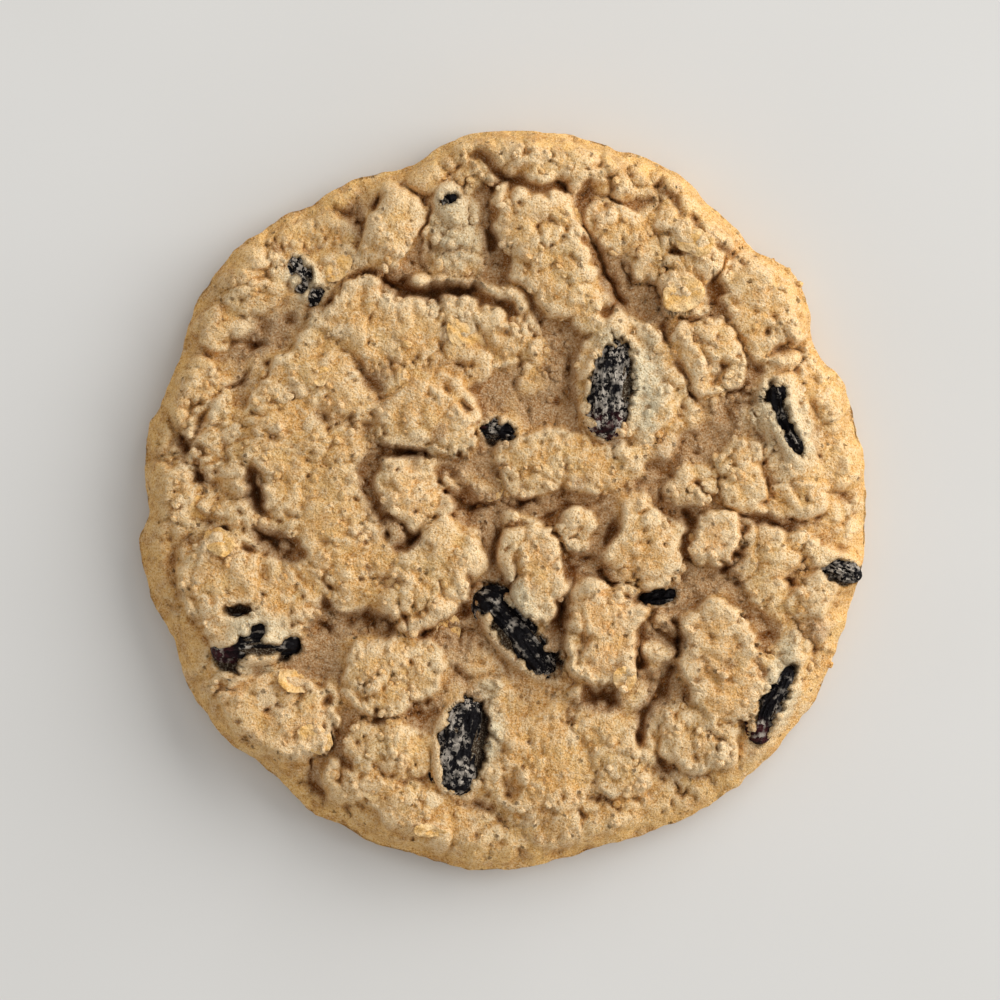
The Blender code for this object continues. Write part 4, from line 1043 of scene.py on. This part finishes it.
def roughen(tree, geometry, size, amount, seed_offset):
    """Moves each point of the geometry by noise, so no two pieces are alike."""
    place = add(tree, "GeometryNodeInputPosition").outputs[0]
    shifted = add(tree, "ShaderNodeVectorMath", {1: seed_offset}, {0: place}, operation="ADD").outputs[0]
    field = add(tree, "ShaderNodeTexNoise", {"Scale": 1.0 / (size * MM), "Detail": 1.0},
                {"Vector": shifted})
    centred = add(tree, "ShaderNodeVectorMath", {1: (0.5, 0.5, 0.5)}, {0: field.outputs["Color"]},
                  operation="SUBTRACT").outputs[0]
    offset = add(tree, "ShaderNodeVectorMath", {"Scale": amount * MM}, {0: centred}, operation="SCALE")
    moved = add(tree, "GeometryNodeSetPosition", (), {"Geometry": geometry, "Offset": offset.outputs[0]})
    return moved.outputs[0]


def finish_tree(tree, geometry, material_socket, output):
    """Smooths the pieces and sets their material."""
    smooth = add(tree, "GeometryNodeSetShadeSmooth", (), {"Geometry": geometry}).outputs[0]
    painted = add(tree, "GeometryNodeSetMaterial", (), {"Geometry": smooth, "Material": material_socket})
    tree.links.new(painted.outputs[0], output.inputs[0])


def run_tree(name, ground, tree, values):
    """Runs a tree over a mesh and keeps the outcome as a plain mesh object."""
    holder = new_piece("holder_" + name, ground)
    modifier = holder.modifiers.new(name, "NODES")
    modifier.node_group = tree
    for item in tree.interface.items_tree:
        if item.in_out == "INPUT" and item.name in values:
            modifier[item.identifier] = values[item.name]
    graph = bpy.context.evaluated_depsgraph_get()
    made = bpy.data.meshes.new_from_object(holder.evaluated_get(graph))
    holder.modifiers.remove(modifier)
    bpy.data.objects.remove(holder, do_unlink=True)
    if not made.polygons:
        raise RuntimeError(name + " came out empty")
    return new_piece(name, made)


def crumb_tree():
    """Crumbs strewn over the broken ground: small rounded grains, each of its own form."""
    tree, source, output = scatter_tree("crumbs", [
        ("Density", "NodeSocketFloat", 1.0), ("Smallest", "NodeSocketFloat", 0.2),
        ("Largest", "NodeSocketFloat", 0.6), ("Seed", "NodeSocketInt", 0),
        ("Material", "NodeSocketMaterial", None),
    ])
    broken = add(tree, "GeometryNodeInputNamedAttribute", {"Name": "broken"}, data_type="FLOAT").outputs[0]
    bare = add(tree, "GeometryNodeInputNamedAttribute", {"Name": "bare"}, data_type="FLOAT").outputs[0]
    rim = add(tree, "GeometryNodeInputNamedAttribute", {"Name": "rim_brown"}, data_type="FLOAT").outputs[0]
    normal = add(tree, "GeometryNodeInputNormal").outputs[0]
    upward = add(tree, "ShaderNodeSeparateXYZ", (), {0: normal}).outputs[2]
    facing_up = add(tree, "ShaderNodeMath", {1: 0.55}, {0: upward}, operation="GREATER_THAN").outputs[0]
    covered = add(tree, "ShaderNodeMath", {1: 0.1}, {0: bare}, operation="LESS_THAN").outputs[0]
    inner = add(tree, "ShaderNodeMath", {1: 0.5}, {0: rim}, operation="LESS_THAN").outputs[0]
    share = add(tree, "ShaderNodeMath", {1: 0.3}, {0: broken}, operation="ADD").outputs[0]
    share = add(tree, "ShaderNodeMath", (), {0: share, 1: source.outputs["Density"]},
                operation="MULTIPLY").outputs[0]
    for gate in (facing_up, covered, inner):
        share = add(tree, "ShaderNodeMath", (), {0: share, 1: gate}, operation="MULTIPLY").outputs[0]
    points = add(tree, "GeometryNodeDistributePointsOnFaces", (), {
        "Mesh": source.outputs["Ground"], "Density": share, "Seed": source.outputs["Seed"]})
    grain = add(tree, "GeometryNodeMeshIcoSphere", {"Radius": MM, "Subdivisions": 2}).outputs[0]
    small = add(tree, "FunctionNodeRandomValue", (), {
        "Min": source.outputs["Smallest"], "Max": source.outputs["Largest"],
        "Seed": source.outputs["Seed"]}, data_type="FLOAT")
    stretch = add(tree, "FunctionNodeRandomValue", {"Min": (0.7, 0.7, 0.45), "Max": (1.3, 1.1, 0.8)},
                  {"Seed": source.outputs["Seed"]}, data_type="FLOAT_VECTOR")
    size = add(tree, "ShaderNodeVectorMath", (), {0: stretch.outputs[0], "Scale": small.outputs[1]},
               operation="SCALE").outputs[0]
    spin = add(tree, "FunctionNodeRandomValue", {"Min": (-0.5, -0.5, 0.0), "Max": (0.5, 0.5, 6.28)},
               {"Seed": source.outputs["Seed"]}, data_type="FLOAT_VECTOR").outputs[0]
    placed = add(tree, "GeometryNodeInstanceOnPoints", (), {
        "Points": points.outputs["Points"], "Instance": grain, "Scale": size, "Rotation": spin}).outputs[0]
    solid = add(tree, "GeometryNodeRealizeInstances", (), {"Geometry": placed}).outputs[0]
    rough = roughen(tree, solid, 0.55, 0.42, (0.3, 0.1, 0.2))
    finish_tree(tree, rough, source.outputs["Material"], output)
    return tree


def flake_tree():
    """Oat flakes at the given points, lying along the surface: flat ovals with a crease and a worn edge."""
    tree, source, output = scatter_tree("oat flakes", [
        ("Thickness", "NodeSocketFloat", 0.2), ("Crease", "NodeSocketFloat", 0.2),
        ("Material", "NodeSocketMaterial", None),
    ])
    disc = add(tree, "GeometryNodeMeshIcoSphere", {"Radius": 1.0, "Subdivisions": 4}).outputs[0]
    place = add(tree, "GeometryNodeInputPosition").outputs[0]
    parts = add(tree, "ShaderNodeSeparateXYZ", (), {0: place})
    near = add(tree, "ShaderNodeMath", {1: 0.16}, {0: parts.outputs[1]}, operation="DIVIDE").outputs[0]
    near = add(tree, "ShaderNodeMath", (), {0: near, 1: near}, operation="MULTIPLY").outputs[0]
    near = add(tree, "ShaderNodeMath", {1: -1.0}, {0: near}, operation="MULTIPLY").outputs[0]
    near = add(tree, "ShaderNodeMath", (), {0: near}, operation="EXPONENT").outputs[0]
    dip = add(tree, "ShaderNodeMath", (), {0: near, 1: source.outputs["Crease"]},
              operation="MULTIPLY").outputs[0]
    thin = add(tree, "ShaderNodeMath", (), {0: parts.outputs[2], 1: source.outputs["Thickness"]},
               operation="MULTIPLY").outputs[0]
    level = add(tree, "ShaderNodeMath", (), {0: thin, 1: dip}, operation="SUBTRACT").outputs[0]
    flat = add(tree, "ShaderNodeCombineXYZ", (), {0: parts.outputs[0], 1: parts.outputs[1], 2: level})
    disc = add(tree, "GeometryNodeSetPosition", (), {"Geometry": disc, "Position": flat.outputs[0]})
    disc = disc.outputs[0]
    wide = add(tree, "ShaderNodeMath", {1: 0.55}, {0: parts.outputs[1]}, operation="DIVIDE").outputs[0]
    wide = add(tree, "ShaderNodeMath", (), {0: wide, 1: wide}, operation="MULTIPLY").outputs[0]
    wide = add(tree, "ShaderNodeMath", {1: -1.0}, {0: wide}, operation="MULTIPLY").outputs[0]
    wide = add(tree, "ShaderNodeMath", (), {0: wide}, operation="EXPONENT").outputs[0]
    disc = add(tree, "GeometryNodeStoreNamedAttribute", {"Name": "crease"}, {
        "Geometry": disc, "Value": wide}, data_type="FLOAT", domain="POINT").outputs[0]
    facing = add(tree, "GeometryNodeInputNamedAttribute", {"Name": "facing"}, data_type="FLOAT_VECTOR")
    span = add(tree, "GeometryNodeInputNamedAttribute", {"Name": "span"}, data_type="FLOAT_VECTOR")
    spin = add(tree, "GeometryNodeInputNamedAttribute", {"Name": "spin"}, data_type="FLOAT")
    turned = add(tree, "FunctionNodeAxisAngleToRotation", {"Axis": (0.0, 0.0, 1.0)},
                 {"Angle": spin.outputs[0]}).outputs[0]
    lying = add(tree, "FunctionNodeAlignRotationToVector", (), {
        "Rotation": turned, "Vector": facing.outputs[0]}, axis="Z").outputs[0]
    placed = add(tree, "GeometryNodeInstanceOnPoints", (), {
        "Points": source.outputs["Ground"], "Instance": disc, "Rotation": lying,
        "Scale": span.outputs[0]}).outputs[0]
    solid = add(tree, "GeometryNodeRealizeInstances", (), {"Geometry": placed}).outputs[0]
    rough = roughen(tree, solid, 1.7, 0.9, (0.7, 0.4, 0.1))
    rough = roughen(tree, rough, 0.6, 0.45, (0.2, 0.5, 0.6))
    finish_tree(tree, rough, source.outputs["Material"], output)
    return tree


def flake_points(net, extra):
    """Points for the flakes on the dough's net, each with its facing, spin and span."""
    x, y, height, bare = net
    sx, sy = slopes(x, y, blur(height, 4.0))
    chance = np.random.default_rng(71)
    wanted = list(FLAKES)
    while len(wanted) < len(FLAKES) + extra:
        reach, way = 36 * math.sqrt(chance.uniform()), chance.uniform(0, 2 * math.pi)
        long = chance.uniform(1.5, 2.5)
        wanted.append((reach * math.cos(way), reach * math.sin(way), long, long * chance.uniform(0.6, 0.85),
                       chance.uniform(0, 180), chance.uniform(6, 24), chance.uniform(0.45, 0.75)))
    places, facings, spins, spans = [], [], [], []
    for fx, fy, long, wide, turn, tilt, sunk in wanted:
        near = np.unravel_index(np.argmin((x - fx) ** 2 + (y - fy) ** 2), x.shape)
        if bare[near] > 0.05 or any(
                oval(fx, fy, *tuple(raisin_middle(n))[:2], r.long + 1, r.wide + 1, r.turn) < 1
                for n, r in RAISINS.items()):
            continue
        slope = np.array([-sx[near], -sy[near], 1.0])
        slope /= np.linalg.norm(slope)
        way = chance.uniform(0, 2 * math.pi)
        slope += math.tan(math.radians(tilt)) * np.array([math.cos(way), math.sin(way), 0.0])
        places.append(np.array([fx, fy, height[near] + 0.10 - sunk]) * MM)
        facings.append(slope / np.linalg.norm(slope))
        spins.append(math.radians(turn))
        spans.append((long * MM, wide * MM, 0.5 * (long + wide) * MM))
    mesh = bpy.data.meshes.new("flake points")
    mesh.from_pydata([tuple(p) for p in places], [], [])
    for name, kind, key, values in (("facing", "FLOAT_VECTOR", "vector", facings),
                                    ("span", "FLOAT_VECTOR", "vector", spans),
                                    ("spin", "FLOAT", "value", spins)):
        layer = mesh.attributes.new(name, kind, "POINT")
        layer.data.foreach_set(key, np.array(values, np.float32).ravel())
    return mesh


# ---------------------------------------------------------------------------------------------------
# What a user may change

def share_property(name, description, value, low=0.0, high=1.0):
    return FloatProperty(name=name, description=description, default=value, min=low, max=high)


def colour_property(name, description, value):
    return FloatVectorProperty(name=name, description=description, default=value, size=3,
                               subtype="COLOR", min=0.0, max=1.0)


class CookieDough(bpy.types.PropertyGroup):
    net_cells: IntProperty(name="Net cells",
                           description="Cells along one side of the top's net, a multiple of 8",
                           default=288, min=64, max=288, step=8)
    relief: share_property("Relief", "How far the crags stand up, as a share", 0.85)
    overhang: share_property("Overhang", "How far broken edges lean out, in millimetres per slope", 0.12)
    dough_light: colour_property("Light dough", "Main colour of the crumb", (0.785, 0.505, 0.200))
    dough_warm: colour_property("Warm dough", "Second colour of the crumb", (0.795, 0.462, 0.155))
    dough_deep: colour_property("Deep dough", "Darker patches of the crumb", (0.74, 0.395, 0.118))
    dough_gold: colour_property("Golden dough", "Thin crisp plates", (0.90, 0.515, 0.20))
    # Pale dough is used for flour specks and cream patches, and for the painted highlight on high edges.
    dough_pale_and_highlight: colour_property("Pale dough", "High edges and flour specks", (0.93, 0.705, 0.425))
    rim_colour: colour_property("Rim", "Browned rim", (0.90, 0.545, 0.185))
    rim_brown: colour_property("Rim brown", "Browner patches of the rim", (0.62, 0.32, 0.095))
    skin_colour: colour_property("Skin", "Thin dough over a raisin", (0.74, 0.63, 0.42))
    stain_colour: colour_property("Stain", "Dough stained by fruit", (0.26, 0.12, 0.07))
    # Dusk and Hollow are painted shade with some browning in hollows and cracks; Pit is painted shade in
    # small pits.
    dusk_shade_and_brown: colour_property("Dusk", "Dough in shallow hollows", (0.48, 0.285, 0.135))
    pit_shade_colour: colour_property("Pit", "Small pits between crumbs", (0.52, 0.25, 0.065))
    hollow_shade_and_brown: colour_property("Hollow", "Dough down in the cracks", (0.36, 0.145, 0.028))
    under_colour: colour_property("Underside", "Browned flat underside", (0.40, 0.20, 0.07))


class CookieFruit(bpy.types.PropertyGroup):
    wrinkle: FloatProperty(name="Wrinkle", description="Depth of a raisin's folds, in millimetres",
                           default=0.85, min=0.0, max=1.5)
    raisin_dark: colour_property("Dark skin", "Main colour of a raisin", (0.004, 0.003, 0.004))
    raisin_wine: colour_property("Wine skin", "Reddish parts of a raisin", (0.060, 0.012, 0.014))
    # Flour dust on the ridges that also stands for painted glints.
    raisin_dust_and_glint: colour_property("Flour dust", "Flour on a raisin's ridges", (0.50, 0.44, 0.37))


class CookieScatter(bpy.types.PropertyGroup):
    crumb_density: FloatProperty(name="Crumbs", description="Crumbs on each square centimetre",
                                 default=26.0, min=0.0, max=60.0)
    crumb_small: FloatProperty(name="Smallest crumb", description="Half size in millimetres", default=0.22)
    crumb_large: FloatProperty(name="Largest crumb", description="Half size in millimetres", default=0.60)
    extra_flakes: IntProperty(name="Extra flakes", description="Oat flakes besides the placed ones",
                              default=10, min=0, max=80)
    oat_colour: colour_property("Oat", "Main colour of an oat flake", (0.93, 0.66, 0.345))
    oat_gold: colour_property("Golden oat", "Toasted parts of an oat flake", (0.78, 0.44, 0.12))


class CookieStage(bpy.types.PropertyGroup):
    key_light: FloatProperty(name="Key light", description="Strength of the window light",
                             default=3.3, min=0.0, unit="NONE")
    fill_light: FloatProperty(name="Fill light", description="Strength of the light all round",
                              default=0.57, min=0.0, unit="NONE")
    camera_height: FloatProperty(name="Camera height", description="Height of the camera over the floor",
                                 default=0.62, min=0.2, unit="LENGTH", subtype="DISTANCE")
    view_width: FloatProperty(name="View width", description="Width of the floor that is seen",
                              default=0.1175, min=0.05, unit="LENGTH", subtype="DISTANCE")


# ---------------------------------------------------------------------------------------------------
# Operators

built = {}                   # what a later operator takes over from an earlier one


class COOKIE_OT_dough(bpy.types.Operator):
    """Build the baked dough with its crags, cracks and rim"""
    bl_idname = "cookie.dough"
    bl_label = "Dough"

    def execute(self, context):
        settings = context.scene.cookie_dough
        mesh, built["net"] = shape_dough(settings)
        built["finish"] = dough_finish(settings)
        built["dough"] = settle(new_piece("dough", mesh), built["finish"], ["cookie"])
        return {"FINISHED"}


class COOKIE_OT_raisins(bpy.types.Operator):
    """Build the wrinkled raisins in their pockets"""
    bl_idname = "cookie.raisins"
    bl_label = "Raisins"

    def execute(self, context):
        settings = context.scene.cookie_fruit
        skin = raisin_finish(settings)
        for name, raisin in RAISINS.items():
            mesh = shape_raisin(name, raisin, settings.wrinkle)
            settle(new_piece("fruit_" + name, mesh), skin, ["raisin_" + name])
        return {"FINISHED"}


class COOKIE_OT_oat_flakes(bpy.types.Operator):
    """Press oat flakes into the top"""
    bl_idname = "cookie.oat_flakes"
    bl_label = "Oat flakes"

    def execute(self, context):
        settings = context.scene.cookie_scatter
        colours = context.scene.cookie_dough
        finish = flake_finish(FlakeColours(settings.oat_colour, settings.oat_gold, colours.dough_light))
        points = flake_points(built["net"], settings.extra_flakes)
        flakes = run_tree("oat_flakes", points, flake_tree(), {
            "Thickness": 0.11, "Crease": 0.07, "Material": finish})
        settle(flakes, finish)
        return {"FINISHED"}


class COOKIE_OT_crumbs(bpy.types.Operator):
    """Strew crumbs over the broken ground"""
    bl_idname = "cookie.crumbs"
    bl_label = "Crumbs"

    def execute(self, context):
        settings = context.scene.cookie_scatter
        crumbs = run_tree("crumbs", built["dough"].data, crumb_tree(), {
            "Density": settings.crumb_density * 1e4, "Smallest": settings.crumb_small,
            "Largest": settings.crumb_large, "Seed": 5, "Material": built["finish"]})
        settle(crumbs, built["finish"])
        return {"FINISHED"}


class COOKIE_OT_stage(bpy.types.Operator):
    """Set up the floor, the light and the camera"""
    bl_idname = "cookie.stage"
    bl_label = "Stage"

    def execute(self, context):
        settings = context.scene.cookie_stage
        bm = bmesh.new()
        bmesh.ops.create_grid(bm, x_segments=4, y_segments=4, size=2.0)
        # A hair under the cookie, so that its flat base and the floor don't share a plane.
        bmesh.ops.translate(bm, vec=(0, 0, -0.00005), verts=bm.verts)
        mesh = bpy.data.meshes.new("floor")
        bm.to_mesh(mesh)
        bm.free()
        mesh.materials.append(floor_finish())
        new_piece("floor", mesh)

        light = bpy.data.lights.new("window", "AREA")
        light.shape = "RECTANGLE"
        light.size, light.size_y = 1.8, 1.5
        light.energy = settings.key_light * 10
        light.color = (1.0, 0.995, 0.98)
        window = bpy.data.objects.new("window", light)
        window.location = (1.12, 0.60, 0.52)
        window.rotation_euler = (-window.location).to_track_quat("-Z", "Y").to_euler()
        context.scene.collection.objects.link(window)

        world = bpy.data.worlds.new("room")
        world.use_nodes = True
        background = world.node_tree.nodes["Background"]
        background.inputs["Color"].default_value = (1.0, 0.99, 0.975, 1.0)
        background.inputs["Strength"].default_value = settings.fill_light
        context.scene.world = world

        camera = bpy.data.cameras.new("camera")
        camera.sensor_width = 36.0
        camera.lens = 36.0 * settings.camera_height / settings.view_width
        camera.clip_start = 0.01
        eye = bpy.data.objects.new("camera", camera)
        eye.location = (-0.00023, 0.0, settings.camera_height)
        context.scene.collection.objects.link(eye)
        context.scene.camera = eye
        context.scene.view_settings.view_transform = "Standard"
        return {"FINISHED"}


FlakeColours = namedtuple("FlakeColours", "oat_colour oat_gold dough_light")


class COOKIE_PT_panel(bpy.types.Panel):
    """Sizes, colours and build steps of the cookie"""
    bl_idname = "COOKIE_PT_panel"
    bl_label = "Oatmeal raisin cookie"
    bl_space_type = "VIEW_3D"
    bl_region_type = "UI"
    bl_category = "Cookie"

    def draw(self, context):
        for group, steps in PANEL_ROWS:
            box = self.layout.box()
            for name in getattr(context.scene, group).bl_rna.properties.keys():
                if name not in ("rna_type", "name"):
                    box.prop(getattr(context.scene, group), name)
            for step in steps:
                box.operator(step)


PANEL_ROWS = (
    ("cookie_dough", ("cookie.dough",)),
    ("cookie_fruit", ("cookie.raisins",)),
    ("cookie_scatter", ("cookie.oat_flakes", "cookie.crumbs")),
    ("cookie_stage", ("cookie.stage",)),
)
GROUPS = {
    "cookie_dough": CookieDough, "cookie_fruit": CookieFruit,
    "cookie_scatter": CookieScatter, "cookie_stage": CookieStage,
}
CLASSES = (
    CookieDough, CookieFruit, CookieScatter, CookieStage,
    COOKIE_OT_dough, COOKIE_OT_raisins, COOKIE_OT_oat_flakes, COOKIE_OT_crumbs, COOKIE_OT_stage,
    COOKIE_PT_panel,
)


def register():
    for cls in CLASSES:
        bpy.utils.register_class(cls)
    for name, group in GROUPS.items():
        setattr(bpy.types.Scene, name, PointerProperty(type=group))


def unregister():
    for name in GROUPS:
        delattr(bpy.types.Scene, name)
    for cls in reversed(CLASSES):
        bpy.utils.unregister_class(cls)


def main():
    register()
    bpy.ops.cookie.dough()
    bpy.ops.cookie.raisins()
    bpy.ops.cookie.oat_flakes()
    bpy.ops.cookie.crumbs()
    bpy.ops.cookie.stage()


if __name__ == "__main__":
    main()
